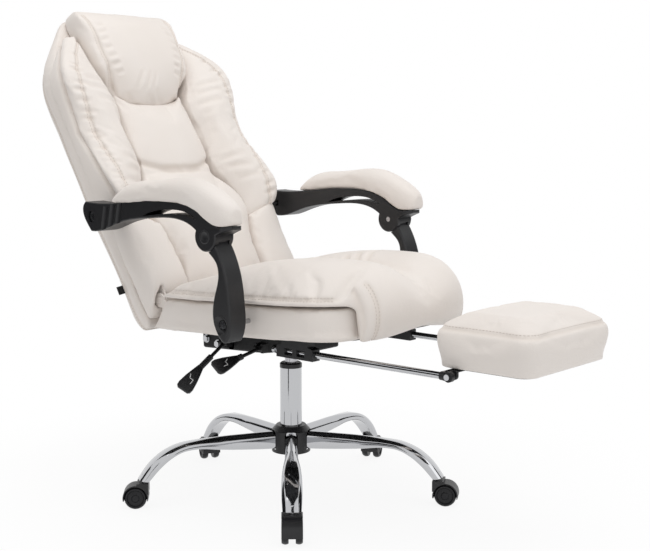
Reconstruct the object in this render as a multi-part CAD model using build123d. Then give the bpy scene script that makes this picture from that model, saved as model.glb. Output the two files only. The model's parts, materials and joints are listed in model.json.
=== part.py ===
from build123d import *
import math
import os

# Office chair with a pull-out footrest, in millimetres.
# +X is the sitter's left, -Y is forward, +Z is up; the origin is on the column axis at the floor.
# Side profiles are given as (u, z), with u the distance forward of the column axis (u = -y).

# fits
RUN = 0.05
SLIP = 0.30
SOFT = 1.0

# five-star base and casters
LEG_COUNT = 5
FRONT_LEG_ANGLE = 222.7
STEM_CIRCLE = 345.0
LEG_END_Z = 62.0
HUB_R = 38.0
HUB_LOW = 104.0
HUB_TOP = 150.0
COVER_R = 44.5
COVER_TOP = 161.0
COVER_LOW = 99.0
COVER_WALL = 3.0
WHEEL_R = 25.0
WHEEL_W = 14.6
WEB_HALF = 6.8
CASTER_TRAIL = 19.0
STEM_R = 5.5
PIN_R = 4.0
AXLE_R = 3.0
HOOD_TOP = 58.0
CASTER_TURNS = (222.7, 300.0, 24.0, 60.0, 135.0)

# gas column
TUBE_R = 25.0
TUBE_WALL = 2.0
TUBE_LOW = 100.0
TUBE_TOP = 295.0
BUSH_TOP = 307.0
CYL_R = 14.0
CYL_LOW = 130.0
CYL_TOP = 374.0
CYL_BORE = 11.5
ROD_R = 5.0
VALVE_R = 4.0
TAPER_START = 336.0
TAPER_R = 13.4

# seat, built level in its own frame and then tipped up at the front
SEAT_Z = 398.0
SEAT_TILT = 2.7
SEAT_HALF = 246.0
SEAT_REAR_LOW = -212.0
SEAT_REAR_TOP = -172.0
SEAT_FRONT = 332.0
BASE_H = 72.0
BOARD_T = 12.0
NOSE = 391.0
PLATE_X = 218.0
PLATE_T = 5.0

# backrest, built upright in its own frame (x across, -y forward, z up) and then reclined
BACK_U = -230.0
BACK_Z = 400.0
RECLINE = 30.0
BOARD_N = 12.0
CUSHION_N = 13.0
BACK_LEN = 806.0
ARM_PLATE_X = 211.0

# linkage pivots in side view (u, z)
PIVOT_BACK = (-200.0, 455.0)
PIVOT_REAR = (-301.0, 645.0)
PIVOT_FRONT = (65.0, 622.0)
PIVOT_POST = (104.0, 443.0)
KNUCKLE_R = 16.0
PIVOT_PIN_R = 7.0

# linked arms
ARM_IN = 275.0
ARM_OUT = 330.0
FORK = 12.0
LIP = (132.0, 648.0)
PAD_X = 306.5
DISC_R = 30.5
BARREL_R = 26.0
ARM_PIN_R = 6.0
BOLT_R = 5.0
LINK_SLACK = 2.4

# footrest
RAIL_X = 167.0
RAIL_Z = 374.0
RAIL_R = 7.0
RAIL_BACK = 122.0
RAIL_FRONT = 224.0
FOOT_U = 561.0
FOOT_REAR = 508.0
FOOT_FRONT = 733.0
FOOT_HALF = 152.0
FOOT_LOW = 384.0
FOOT_SEAM = 462.0
FOOT_CROWN = 489.0

# tilt mechanism and levers
PAN_HALF = 105.0
PAN_H = 52.0
PAN_WALL = 3.0
LEVER_X = -118.0
HEIGHT_LEVER_U = -95.0
RECLINE_LEVER_U = 16.0
LEVER_Z = 357.0
LEVER_R = 4.0

SEAT = Pos(0, 0, SEAT_Z) * Rot(X=-SEAT_TILT)
BACK = Pos(0, -BACK_U, BACK_Z) * Rot(X=-RECLINE)
UPRIGHT = Rot(X=90)


def save(name, shape):
    """Write one node as a STEP file."""
    shape.label = name
    export_step(shape, "parts/" + name + ".step")


def group(solids):
    """Keep separate solids together in one node."""
    return Compound(children=list(solids))


def side_face(edges):
    """Face in the side plane from edges drawn in (-u, z)."""
    return Plane.YZ * make_face(edges)


def rod_x(x0, x1, u, z, radius):
    """Round bar across the chair between two x positions."""
    bar = Cylinder(radius, abs(x1 - x0))
    return Pos((x0 + x1) / 2, -u, z) * Rot(Y=90) * bar


def both_sides(solid):
    """A solid and its mirror image across the middle plane."""
    return [solid, mirror(solid, about=Plane.YZ)]


def to_back(u, z):
    """Side-view point as (n, s) in the backrest frame."""
    a = math.radians(RECLINE)
    du = u - BACK_U
    dz = z - BACK_Z
    return du * math.cos(a) + dz * math.sin(a), -du * math.sin(a) + dz * math.cos(a)


def to_seat(u, z):
    """Side-view point as (u, height) in the seat frame."""
    a = math.radians(SEAT_TILT)
    dz = z - SEAT_Z
    return u * math.cos(a) + dz * math.sin(a), -u * math.sin(a) + dz * math.cos(a)


# Base


def leg():
    """One pressed tube leg along +X, tall at the hub and bent down over its caster."""
    rows = [(22, 127, 1, 27, 41), (110, 129, 1, 27, 36), (168, 131, 1, 28, 30), (224, 132.5, -2, 32, 19),
            (262, 128, -14, 38, 17), (294, 114, -34, 43, 19), (322, 92, -55, 44, 21), (347, LEG_END_Z, -80, 40, 21)]
    faces = []
    for r, z, slope, wide, tall in rows:
        a = math.radians(slope)
        plane = Plane(origin=(r, 0, z), x_dir=(0, 1, 0), z_dir=(math.cos(a), 0, math.sin(a)))
        faces.append(plane * RectangleRounded(wide, tall, min(wide, tall) * 0.36))
    return loft(faces)


def base_star():
    """Chrome five-star base: hub sleeve, five legs and a stem socket in each leg end."""
    star = Pos(0, 0, (HUB_LOW + HUB_TOP) / 2) * Cylinder(HUB_R, HUB_TOP - HUB_LOW)
    one = leg()
    for i in range(LEG_COUNT):
        star = star + Rot(Z=FRONT_LEG_ANGLE + 360 / LEG_COUNT * i) * one
    bore = Pos(0, 0, 125) * Cylinder(TUBE_R + RUN, 120)
    star = star - bore
    for place in stem_places():
        star = star - place * Pos(0, 0, 57) * Cylinder(STEM_R, 40)
    return star


def stem_places():
    """Locations of the five caster stems."""
    places = []
    for i in range(LEG_COUNT):
        a = math.radians(FRONT_LEG_ANGLE + 360 / LEG_COUNT * i)
        places.append(Pos(STEM_CIRCLE * math.cos(a), STEM_CIRCLE * math.sin(a), 0))
    return places


def hub_cover():
    """Black cap over the hub with an arch cut for each leg."""
    w = COVER_WALL
    outer = Polyline((TUBE_R + SLIP, COVER_TOP), (34, COVER_TOP), (COVER_R, 149), (COVER_R, COVER_LOW))
    inner = Polyline((COVER_R, COVER_LOW), (COVER_R - w, COVER_LOW), (COVER_R - w, HUB_TOP + 0.5))
    close = Polyline((COVER_R - w, HUB_TOP + 0.5), (TUBE_R + SLIP, HUB_TOP + 0.5), (TUBE_R + SLIP, COVER_TOP))
    cap = revolve(Plane.XZ * make_face(outer + inner + close), Axis.Z)
    arch = Plane.YZ * (Pos(0, 122) * RectangleRounded(29.5, 56.5, 9))
    for i in range(LEG_COUNT):
        cap = cap - Rot(Z=FRONT_LEG_ANGLE + 360 / LEG_COUNT * i) * Pos(30, 0, 0) * extrude(arch, 30)
    return cap


def caster_stem():
    """Steel stem: thick in the leg socket, thin where the caster turns on it."""
    thick = Pos(0, 0, 67.5) * Cylinder(STEM_R, 18.0)
    thin = Pos(0, 0, 49.5) * Cylinder(PIN_R, 18.5)
    return thick + thin


def caster_hood():
    """Fender over both wheels with a centre web that holds the stem and the axle."""
    web = Pos(CASTER_TRAIL, WHEEL_R) * Circle(WHEEL_R + 3.4)
    neck = Pos(3, 46) * Rectangle(26, 24)
    low = Pos(CASTER_TRAIL, -1) * Rectangle(80, 40)
    face = UPRIGHT * (web + neck - low)
    half = WEB_HALF + WHEEL_W + 0.6
    hood = Pos(0, half, 0) * extrude(face, 2 * half)
    hood = fillet(hood.edges().filter_by(GeomType.CIRCLE).group_by(SortBy.LENGTH)[-1], 2.0)
    for side in (-1, 1):
        well = Rot(X=90) * Cylinder(WHEEL_R + 1.2, WHEEL_W + 2)
        hood = hood - Pos(CASTER_TRAIL, side * (WEB_HALF + (WHEEL_W + 2) / 2), WHEEL_R) * well
    hood = hood - Pos(-25, 0, 40) * Box(30, 60, 80)
    hood = hood - Pos(0, 0, 50 + HOOD_TOP) * Box(90, 90, 100)
    hood = hood - Pos(0, 0, 49.5) * Cylinder(PIN_R + RUN, 19.5)
    return hood - Pos(CASTER_TRAIL, 0, WHEEL_R) * Rot(X=90) * Cylinder(AXLE_R + RUN, 60)


def caster_wheel():
    """One wheel with a rounded tread and a dished outer face, axle hole along Y."""
    w = WHEEL_W
    tread = ThreePointArc((WHEEL_R - 2, 0), (WHEEL_R, w * 0.45), (WHEEL_R - 3, w))
    dish = Polyline((WHEEL_R - 3, w), (WHEEL_R - 6, w), (WHEEL_R - 8, w - 3), (9, w - 2), (7, w), (AXLE_R, w))
    close = Polyline((AXLE_R, w), (AXLE_R, 0), (WHEEL_R - 2, 0))
    face = Plane.XZ * make_face(tread + dish + close)
    return Rot(X=-90) * revolve(face, Axis.Z)


def caster_wheels():
    """Axle and its two wheels, in the frame of one caster."""
    gap = WEB_HALF + 0.4
    at = Pos(CASTER_TRAIL, 0, WHEEL_R)
    left = at * Pos(0, gap, 0) * caster_wheel()
    right = at * Pos(0, -gap, 0) * Rot(Z=180) * caster_wheel()
    axle = at * Rot(X=90) * Cylinder(AXLE_R, 2 * (gap + WHEEL_W))
    return group([left, right, axle])


# Gas column


def column_tube():
    """Outer tube, tapered where it wedges into the hub, with a floor for the bearing."""
    r = TUBE_R
    shape = Polyline(
        (8, TUBE_LOW), (r - 0.6, TUBE_LOW), (r, HUB_TOP), (r, TUBE_TOP), (r - TUBE_WALL, TUBE_TOP),
        (r - TUBE_WALL, TUBE_LOW + 4), (8, TUBE_LOW + 4), (8, TUBE_LOW))
    return revolve(Plane.XZ * make_face(shape), Axis.Z)


def column_bush():
    """Plastic guide bush: collar above the tube and a long sleeve inside it."""
    r = TUBE_R
    i = CYL_R + RUN
    shape = Polyline(
        (i, TUBE_TOP - 95), (r - TUBE_WALL, TUBE_TOP - 95), (r - TUBE_WALL, TUBE_TOP), (r + 0.6, TUBE_TOP),
        (r + 0.6, BUSH_TOP - 3), (r - 3, BUSH_TOP), (i, BUSH_TOP), (i, TUBE_TOP - 95))
    return revolve(Plane.XZ * make_face(shape), Axis.Z)


def thrust_bearing():
    """Washer the piston rod turns on."""
    return Pos(0, 0, TUBE_LOW + 8) * (Cylinder(15, 8) - Cylinder(ROD_R + RUN, 10))


def piston_rod():
    """Rod with its piston head, a shoulder on the bearing and a retaining clip below the tube."""
    rod = Pos(0, 0, 206) * Cylinder(ROD_R, 236)
    head = Pos(0, 0, 314) * Cylinder(CYL_BORE - RUN, 14)
    shoulder = Pos(0, 0, TUBE_LOW + 14.2) * Cylinder(9, 4)
    clip = Pos(0, 0, TUBE_LOW - 2.2) * Cylinder(11, 4)
    return rod + head + shoulder + clip


def gas_cylinder():
    """Pressure cylinder with a wedge taper at the top and a valve bore."""
    r = CYL_R
    v = VALVE_R + RUN
    g = ROD_R + RUN
    shape = Polyline(
        (g, CYL_LOW), (r, CYL_LOW), (r, TAPER_START), (TAPER_R, CYL_TOP), (v, CYL_TOP), (v, CYL_TOP - 30),
        (CYL_BORE, CYL_TOP - 34), (CYL_BORE, CYL_LOW + 14), (g, CYL_LOW + 14), (g, CYL_LOW))
    return revolve(Plane.XZ * make_face(shape), Axis.Z)


def valve_pin():
    """Release pin standing out of the cylinder top."""
    return Pos(0, 0, CYL_TOP - 8) * Cylinder(VALVE_R, 28)


# Tilt mechanism


def pan_outline(shrink):
    """Plan outline of the mechanism pan: wide behind the column, narrow in front."""
    h = PAN_HALF - shrink
    pts = [(h, 187 - shrink), (h, -12 + shrink), (62 - shrink, -44), (56 - shrink, -98 + shrink)]
    other = [(-x, y) for x, y in reversed(pts)]
    outline = make_face(Polyline(*pts, *other, pts[0]))
    return fillet(outline.vertices(), 10 - shrink)


def mechanism_pan():
    """Pressed steel pan with the tapered column socket."""
    floor = -4 - PAN_H
    pan = extrude(Pos(0, 0, floor) * pan_outline(0), PAN_H)
    pan = fillet(pan.faces().sort_by(Axis.Z)[0].edges(), 5)
    pan = pan - extrude(Pos(0, 0, floor + PAN_WALL) * pan_outline(PAN_WALL), PAN_H)
    for side in (-1, 1):
        pan = pan - Pos(side * PAN_HALF, 90, floor + 30) * Rot(Y=90) * extrude(SlotOverall(60, 18), 20, both=True)
    pan = SEAT * pan
    low = SEAT_Z + floor - 3
    pan = pan + Pos(0, 0, low + 24) * Cylinder(20, 48)
    socket = Polyline(
        (0, low - 10), (CYL_R + RUN, low - 10), (CYL_R + RUN, TAPER_START), (TAPER_R + RUN, CYL_TOP),
        (TAPER_R + RUN, CYL_TOP + 30), (0, CYL_TOP + 30), (0, low - 10))
    return pan - revolve(Plane.XZ * make_face(socket), Axis.Z)


def mechanism_plate():
    """Flat plate that joins the pan to the seat board."""
    plate = RectangleRounded(232, 300, 18)
    for place in GridLocations(190, 220, 2, 2):
        plate = plate - place * Rot(Z=90) * SlotOverall(40, 9)
    plate = plate - Pos(0, -46) * RectangleRounded(120, 110, 20)
    return SEAT * Pos(0, 46, -3.4) * extrude(plate, 3)


def mechanism_bolts():
    """Silver hexagon bolts on the sides of the pan."""
    bolts = []
    for u, z in ((-167, 356), (-130, 348)):
        head = Rot(Y=90) * extrude(RegularPolygon(7.5, 6), 5)
        washer = Rot(Y=90) * extrude(Circle(9.5), 1.6)
        bolt = Pos(PAN_HALF + 0.2, -u, z) * (washer + Pos(1.6, 0, 0) * head)
        bolts.extend(both_sides(bolt))
    return group(bolts)


def lever_bracket(u):
    """Forked lug on the right side of the pan with the pin a lever turns on."""
    lug = Pos(-PAN_HALF - 9.2, -u, LEVER_Z) * Box(18, 26, 20)
    lug = lug - Pos(LEVER_X - 4, -u, LEVER_Z) * Box(24, 12, 30)
    pin = Pos(LEVER_X, -u, LEVER_Z) * Rot(X=90) * Cylinder(3, 26)
    ears = Pos(LEVER_X, -u, LEVER_Z) * (Rot(X=90) * Cylinder(8, 26) - Box(40, 12, 40))
    return lug + ears + pin


def lever_rod(u, reach, drop):
    """Steel lever rod from its eye on the pin out to the paddle."""
    length = math.hypot(reach, drop)
    slope = math.degrees(math.atan2(drop, reach))
    eye = Rot(X=90) * Cylinder(7, 11.4)
    bar = Pos(-length / 2, 0, 0) * Rot(Y=90) * Cylinder(LEVER_R, length)
    rod = Rot(Y=-slope) * (eye + bar) - Rot(X=90) * Cylinder(3 + RUN, 20)
    return Pos(LEVER_X, -u, LEVER_Z) * rod


def lever_paddle(u, reach, drop, start, ribs):
    """Plastic paddle on the rod: round neck, then a flat tapered blade."""
    length = math.hypot(reach, drop)
    slope = math.degrees(math.atan2(drop, reach))
    neck = loft([Plane.YZ * Circle(7), Pos(-16, 0, 0) * (Plane.YZ * RectangleRounded(26, 9, 4))])
    ends = [Plane.YZ * RectangleRounded(26, 9, 4), Pos(-40, 0, 0) * (Plane.YZ * RectangleRounded(36, 8, 3.5)),
            Pos(-68, 0, 0) * (Plane.YZ * RectangleRounded(33, 6, 2.8))]
    blade = Pos(-16, 0, 0) * loft(ends)
    part = neck + blade
    for i in range(ribs):
        ring = Rot(Y=90) * Cylinder(7.0 if i % 2 else 5.8, 5)
        part = part + Pos(5 * i + 2.5, 0, 0) * ring
    part = Pos(-start, 0, 0) * part
    hole = Pos(-length / 2, 0, 0) * Rot(Y=90) * Cylinder(LEVER_R + 0.02, length)
    return Pos(LEVER_X, -u, LEVER_Z) * Rot(Y=-slope) * (part - hole)


# Seat


def seat_outline(rear, grow):
    """Plan outline of the seat box: straight rear, bowed sides, rounded front corners."""
    h = SEAT_HALF + grow
    f = SEAT_FRONT
    rear_line = Line((-h + 16, -rear), (h - 16, -rear))
    right = ThreePointArc((h - 16, -rear), (h, -20), (h - 12, -240))
    corner_r = ThreePointArc((h - 12, -240), (h - 36, -f + 28), (164, -f))
    front = Line((164, -f), (-164, -f))
    corner_l = ThreePointArc((-164, -f), (-h + 36, -f + 28), (-h + 12, -240))
    left = ThreePointArc((-h + 12, -240), (-h, -20), (-h + 16, -rear))
    return make_face(rear_line + right + corner_r + front + corner_l + left)


def seat_base():
    """Boxed lower cushion with bowed borders and a slanted rear end."""
    rise = BASE_H
    middle = (SEAT_REAR_LOW + SEAT_REAR_TOP) / 2 - 3
    faces = [seat_outline(SEAT_REAR_LOW, 0), Pos(0, 0, rise * 0.5) * seat_outline(middle, 6)]
    faces.append(Pos(0, 0, rise) * seat_outline(SEAT_REAR_TOP, 1))
    box = loft(faces)
    box = box - extrude(offset(board_outline(), 0.4), BOARD_T + 0.4)
    box = SEAT * box
    for x in (-PLATE_X, PLATE_X):
        box = box - Pos(x, 0, 0) * side_plate_blank(PLATE_T / 2 + 1.0, 1.2)
        box = box - Pos(x, -PIVOT_BACK[0], PIVOT_BACK[1]) * Rot(Y=90) * Cylinder(KNUCKLE_R + 6, 30)
    for side in (-1, 1):
        box = box - rod_x(side * (PLATE_X - 13), side * (PLATE_X + 3), *PIVOT_POST, 10)
        box = box - rod_x(side * PLATE_X, side * ARM_IN, *PIVOT_POST, BOLT_R + 0.8)
    return box


def board_outline():
    """Plan outline of the seat board."""
    pts = [(214, 202), (224, 20), (212, -240), (150, -SEAT_FRONT + 15)]
    other = [(-x, y) for x, y in reversed(pts)]
    return fillet(make_face(Polyline(*pts, *other, pts[0])).vertices(), 25)


def seat_board():
    """Plywood board under the seat."""
    return SEAT * extrude(board_outline(), BOARD_T)


def pillow_section(u, half, side, crest, valley):
    """Cross-section of the seat pillow: flat below, round sides, two crowned lobes and a channel."""
    low = BASE_H + SOFT
    base = Line((-half, low), (half, low))
    right = ThreePointArc((half, low), (half + 5, (low + side) / 2), (half, side))
    lobe_r = ThreePointArc((half, side), (half * 0.5, crest), (0, valley))
    lobe_l = ThreePointArc((0, valley), (-half * 0.5, crest), (-half, side))
    left = ThreePointArc((-half, side), (-half - 5, (low + side) / 2), (-half, low))
    return Pos(0, -u, 0) * UPRIGHT * make_face(base + right + lobe_r + lobe_l + left)


def seat_pillow():
    """Thick seat pillow with two lobes either side of a middle channel."""
    rows = [(-171, 232, 85, 93, 90), (-110, 241, 91, 104, 99), (0, 246, 95, 132, 117),
            (120, 246, 98, 149, 124), (240, 238, 98, 155, 124), (SEAT_FRONT, 186, 94, 147, 117)]
    pillow = SEAT * loft([pillow_section(*row) for row in rows])
    for x in (-PLATE_X, PLATE_X):
        pillow = pillow - Pos(x, -PIVOT_BACK[0], PIVOT_BACK[1]) * Rot(Y=90) * Cylinder(KNUCKLE_R + 6, 30)
    return pillow


def roll_section(x, nose, top):
    """Side profile of the front roll at one position across the seat."""
    back = SEAT_FRONT + SOFT
    foot = back + (nose - back) * 0.5
    low = Line((-back, 0), (-foot, -2))
    front = ThreePointArc((-foot, -2), (-nose, top * 0.6), (-back, top))
    rear = Line((-back, top), (-back, 0))
    return Pos(x, 0, 0) * side_face(low + front + rear)


def seat_front_roll():
    """Rolled front edge that falls over the front of the seat box."""
    half = [(178, NOSE - 40, 112), (164, NOSE - 29, 124), (130, NOSE - 9, 141), (85, NOSE, 147)]
    rows = [(-x, nose, top) for x, nose, top in half] + [(0, NOSE - 2, 126)] + half[::-1]
    return SEAT * loft([roll_section(*row) for row in rows])


def side_plate_blank(half, grow):
    """Steel side plate of the seat, from the post bolt back to the recline pivot."""
    bu, bz = PIVOT_BACK
    du, dz = PIVOT_POST
    r = KNUCKLE_R + grow
    top = Polyline((-bu, bz + r), (-bu - 20, bz - 2), (-bu - 60, 424 + grow), (-du + 45, 424 + grow))
    front = Polyline((-du + 45, 424 + grow), (-du + 24, dz + 18 + grow), (-du - 20 - grow, dz + 18 + grow))
    low = Polyline((-du - 20 - grow, dz + 18 + grow), (-du - 20 - grow, 417.5 - grow), (-bu - 10, 404.5 - grow),
                   (-bu - 10, bz - r), (-bu, bz - r), (-bu, bz + r))
    plate = extrude(side_face(top + front + low), half, both=True)
    return plate + Pos(0, -bu, bz) * Rot(Y=90) * Cylinder(r, 2 * half)


def seat_side_plates():
    """Pair of side plates with the recline pivot studs, standing on the seat board."""
    plate = Pos(PLATE_X, 0, 0) * side_plate_blank(PLATE_T / 2, 0)
    stud = rod_x(ARM_PLATE_X - 5, PLATE_X + 5, PIVOT_BACK[0], PIVOT_BACK[1], PIVOT_PIN_R)
    plate = plate + stud - rod_x(PLATE_X - 5, PLATE_X + 5, PIVOT_POST[0], PIVOT_POST[1], BOLT_R)
    return group(both_sides(plate))


def post_bolts():
    """Bolts that carry the front posts on the seat's side plates."""
    u, z = PIVOT_POST
    x0 = PLATE_X - PLATE_T / 2 - 6
    shank = rod_x(x0, ARM_OUT - 18, u, z, BOLT_R)
    head = rod_x(ARM_OUT - 18, ARM_OUT - 11, u, z, 9)
    spacer = rod_x(PLATE_X + PLATE_T / 2, ARM_IN + 2.6, u, z, 5.4)
    nut = Pos(x0, -u, z) * Rot(Y=90) * extrude(RegularPolygon(9, 6), 6)
    bolt = shank + head + spacer + nut
    return group(both_sides(bolt))


def footrest_rails():
    """Plastic guide blocks that the footrest rods slide in, with feet on the seat board."""
    a = math.tan(math.radians(SEAT_TILT))
    z0 = SEAT_Z + RAIL_BACK * a - 0.2
    z1 = SEAT_Z + RAIL_FRONT * a - 0.2
    low = RAIL_Z - 13
    edge = Polyline((-RAIL_BACK, low), (-RAIL_BACK, RAIL_Z + 11), (-RAIL_BACK - 14, RAIL_Z + 15),
                    (-RAIL_BACK - 14, z0 + 14 * a - 5), (-RAIL_BACK, z0 - 5), (-RAIL_BACK, z0), (-RAIL_FRONT, z1),
                    (-RAIL_FRONT, z1 - 5), (-RAIL_FRONT + 14, z1 - 5), (-RAIL_FRONT + 14, RAIL_Z + 15),
                    (-RAIL_FRONT, RAIL_Z + 11), (-RAIL_FRONT, low), (-RAIL_BACK, low))
    block = Pos(RAIL_X, 0, 0) * extrude(side_face(edge), 11.5, both=True)
    for u in (RAIL_BACK + 34, RAIL_FRONT - 34):
        block = block - Pos(RAIL_X + 9, -u, RAIL_Z) * Box(8, 22, 14)
    bore = Pos(RAIL_X, -(RAIL_BACK + RAIL_FRONT) / 2, RAIL_Z) * Rot(X=90) * Cylinder(RAIL_R + RUN, 160)
    return group(both_sides(block - bore))


# Backrest


def cushion_section(s, x0, x1, back, front0, front1, crown, bulge0, bulge1):
    """Level slice of a back cushion: flat back, crowned front, bowed sides; n is measured forward."""
    rear = Line((x0, -back), (x1, -back))
    outer = ThreePointArc((x1, -back), (x1 + bulge1, -(back + front1) / 2), (x1, -front1))
    mid = ((x0 + x1) / 2, -(front0 + front1) / 2 - crown)
    face = ThreePointArc((x1, -front1), mid, (x0, -front0))
    inner = ThreePointArc((x0, -front0), (x0 - bulge0, -(back + front0) / 2), (x0, -back))
    return Pos(0, 0, s) * make_face(rear + outer + face + inner)


def even_section(s, half, front, crown, bulge):
    """Slice of a cushion that is the same on both sides of the middle."""
    return cushion_section(s, -half, half, CUSHION_N, front, front, crown, bulge, bulge)


def lumbar_pad():
    """Lower middle cushion, fullest at the small of the back."""
    rows = [(16, 122, 40, 8), (60, 127, 66, 12), (125, 128, 76, 13), (205, 146, 74, 12), (240, 156, 70, 10),
            (300, 145, 60, 8), (352, 114, 42, 6)]
    return BACK * loft([even_section(s, h, f, c, 0.4) for s, h, f, c in rows])


def center_pad():
    """Upper middle cushion between the wings."""
    rows = [(356, 114, 40, 6), (385, 115, 47, 8), (460, 115, 48, 9), (540, 110, 44, 6)]
    return BACK * loft([even_section(s, h, f, c, 0.4) for s, h, f, c in rows])


def headrest():
    """Head cushion, wider and fuller towards the top."""
    rows = [(545, 108, 40, 4), (600, 127, 66, 9), (665, 144, 76, 11), (735, 146, 78, 10), (780, 148, 68, 8),
            (BACK_LEN, 134, 46, 4)]
    return BACK * loft([even_section(s, h, f, c, 0.5) for s, h, f, c in rows])


def wing_section(s, x0, x1, front0, front1):
    """Level slice of a wing: side border up to a seam, then a rolled edge that overhangs it."""
    back = CUSHION_N
    seam = max(front1 - 24, back + 8)
    rear = Line((x0, -back), (x1, -back))
    border = ThreePointArc((x1, -back), (x1 + 1.5, -(back + seam) / 2), (x1 - 2, -seam))
    roll = ThreePointArc((x1 - 2, -seam), (x1 + 6, -(seam + front1) / 2), (x1 - 8, -front1))
    face = ThreePointArc((x1 - 8, -front1), ((x0 + x1) / 2, -(front0 + front1) / 2 - 8), (x0, -front0))
    inner = ThreePointArc((x0, -front0), (x0 + 0.4, -(back + front0) / 2), (x0, -back))
    return Pos(0, 0, s) * make_face(rear + border + roll + face + inner)


def wing():
    """Side wing of the upper back on the sitter's left."""
    rows = [(212, 172, 250, 46, 84), (250, 160, 256, 54, 102), (300, 149, 260, 54, 104), (362, 120, 262, 52, 92),
            (470, 119, 263, 50, 70), (545, 114, 266, 52, 78), (600, 132, 267, 54, 86), (665, 149, 240, 50, 78),
            (700, 150, 213, 43, 63), (735, 150, 182, 34, 44)]
    body = loft([wing_section(*row) for row in rows])
    nut_room = rod_x(ARM_PLATE_X - 13, ARM_PLATE_X + 2, *PIVOT_REAR, 10)
    return BACK * body - arm_plate_pocket() - nut_room - rod_x(ARM_PLATE_X, ARM_IN, *PIVOT_REAR, BOLT_R + 0.4)


def bolster():
    """Lower side bolster on the sitter's left."""
    rows = [(2, 126, 236, 30, 25), (20, 127, 238, 50, 46), (55, 131, 241, 73, 70), (120, 133, 245, 80, 76),
            (165, 139, 247, 79, 75), (207, 151, 248, 76, 74)]
    body = loft([cushion_section(s, a, b, CUSHION_N, f, g, 8, -0.4, 4) for s, a, b, f, g in rows])
    return BACK * body - arm_plate_pocket()


def arm_plate_blank(half, grow):
    """Steel back arm in the backrest frame, from the recline pivot up to the armrest bolt."""
    bn, bs = to_back(*PIVOT_BACK)
    cn, cs = to_back(*PIVOT_REAR)
    r = KNUCKLE_R + grow
    n0 = CUSHION_N - grow
    pts = [(-bn - r * 0.5, bs - r * 0.85), (-n0, bs + 12 - grow), (-n0, cs + 14 + grow), (-cn, cs + r), (-cn - r, cs),
           (-bn - r, bs), (-bn - r * 0.5, bs - r * 0.85)]
    plate = extrude(Plane.YZ * make_face(Polyline(*pts)), half, both=True)
    for n, s in ((bn, bs), (cn, cs)):
        plate = plate + Pos(0, -n, s) * Rot(Y=90) * Cylinder(r, 2 * half)
    return plate


def arm_plate_pocket():
    """Clearance inside the side cushions round the back arm and the seat's knuckle."""
    slot = BACK * Pos(ARM_PLATE_X, 0, 0) * arm_plate_blank(PLATE_T / 2 + 1.0, 1.2)
    knuckle = Pos(PLATE_X, -PIVOT_BACK[0], PIVOT_BACK[1]) * Rot(Y=90) * Cylinder(KNUCKLE_R + 2, 27)
    sweep = Pos(PLATE_X, -PIVOT_BACK[0], PIVOT_BACK[1]) * Rot(Y=90) * Cylinder(KNUCKLE_R + 30, 9)
    return slot + knuckle + sweep


def back_side_arms():
    """Pair of steel arms with a flange screwed to the back board."""
    arm = BACK * Pos(ARM_PLATE_X, 0, 0) * arm_plate_blank(PLATE_T / 2 - 0.2, 0)
    arm = arm - rod_x(180, 260, *PIVOT_BACK, PIVOT_PIN_R + RUN) - rod_x(180, 260, *PIVOT_REAR, BOLT_R)
    return group(both_sides(arm))


def arm_pivot_bolts():
    """Bolts and spacers that hold the rear ends of the armrests to the backrest."""
    u, z = PIVOT_REAR
    x0 = ARM_PLATE_X - PLATE_T / 2 - 6
    shank = rod_x(x0, ARM_OUT - 14, u, z, BOLT_R)
    head = rod_x(ARM_OUT - 14, ARM_OUT - 8, u, z, 10.5)
    nut = Pos(x0, -u, z) * Rot(Y=90) * extrude(RegularPolygon(9, 6), 5.8)
    return group(both_sides(shank + head + nut))


def back_board_outline():
    """Front outline of the back board in the backrest frame."""
    pts = [(196, 22), (214, 120), (224, 420), (228, 600), (150, 725)]
    other = [(-x, y) for x, y in reversed(pts)]
    return fillet(make_face(Polyline(*pts, *other, pts[0])).vertices(), 30)


def back_board():
    """Plywood board behind the back cushions."""
    return BACK * Rot(X=90) * extrude(back_board_outline(), BOARD_N)


def shell_section(s, half, depth, crown, n=BOARD_N + 0.5):
    """Slice of the upholstered rear shell; n is where its front lies."""
    front = Line((-half, -n), (half, -n))
    right = ThreePointArc((half, -n), (half + 3, (depth - n) / 2), (half - 14, depth))
    rear = ThreePointArc((half - 14, depth), (0, depth + crown), (-half + 14, depth))
    left = ThreePointArc((-half + 14, depth), (-half - 3, (depth - n) / 2), (-half, -n))
    return Pos(0, 0, s) * make_face(front + right + rear + left)


def back_shell():
    """Padded rear shell with a pocket for the board."""
    rows = [(-14, 230, 38, 6, 2), (22, 238, 51, 10), (60, 241, 51, 14), (200, 248, 48, 18), (330, 256, 48, 18),
            (470, 259, 49, 16), (600, 263, 47, 15), (665, 246, 44, 14), (735, 196, 41, 12), (775, 166, 35, 9),
            (BACK_LEN, 136, 22, 6)]
    shell = loft([shell_section(*row) for row in rows])
    shell = shell - Pos(0, -BOARD_N - 60.5, BACK_LEN / 2) * Box(700, 120, 2 * BACK_LEN)
    pocket = Rot(X=90) * extrude(offset(back_board_outline(), 0.4), 60)
    return BACK * (shell - Pos(0, 0.4, 0) * pocket - tab_blank(0.4))


def tab_blank(grow):
    """Sewn tab in the backrest frame."""
    tab = RectangleRounded(15 + 2 * grow, 20 + 2 * grow, 1.5)
    return Pos(-245, 1, 118) * Rot(Z=18) * Rot(X=90) * extrude(tab, 0.6 + grow, both=True)


def seam_tab():
    """Plain sewn tab in the right side seam."""
    return BACK * tab_blank(0)


# Linked arms


def arm_top():
    """Top edge of the arm frame from the rear end to the front lip."""
    return Spline((319, 678), (218, 679), (136, 687), (53, 691), (-39, 675), (-106, 644), (-LIP[0], LIP[1]))


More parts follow.
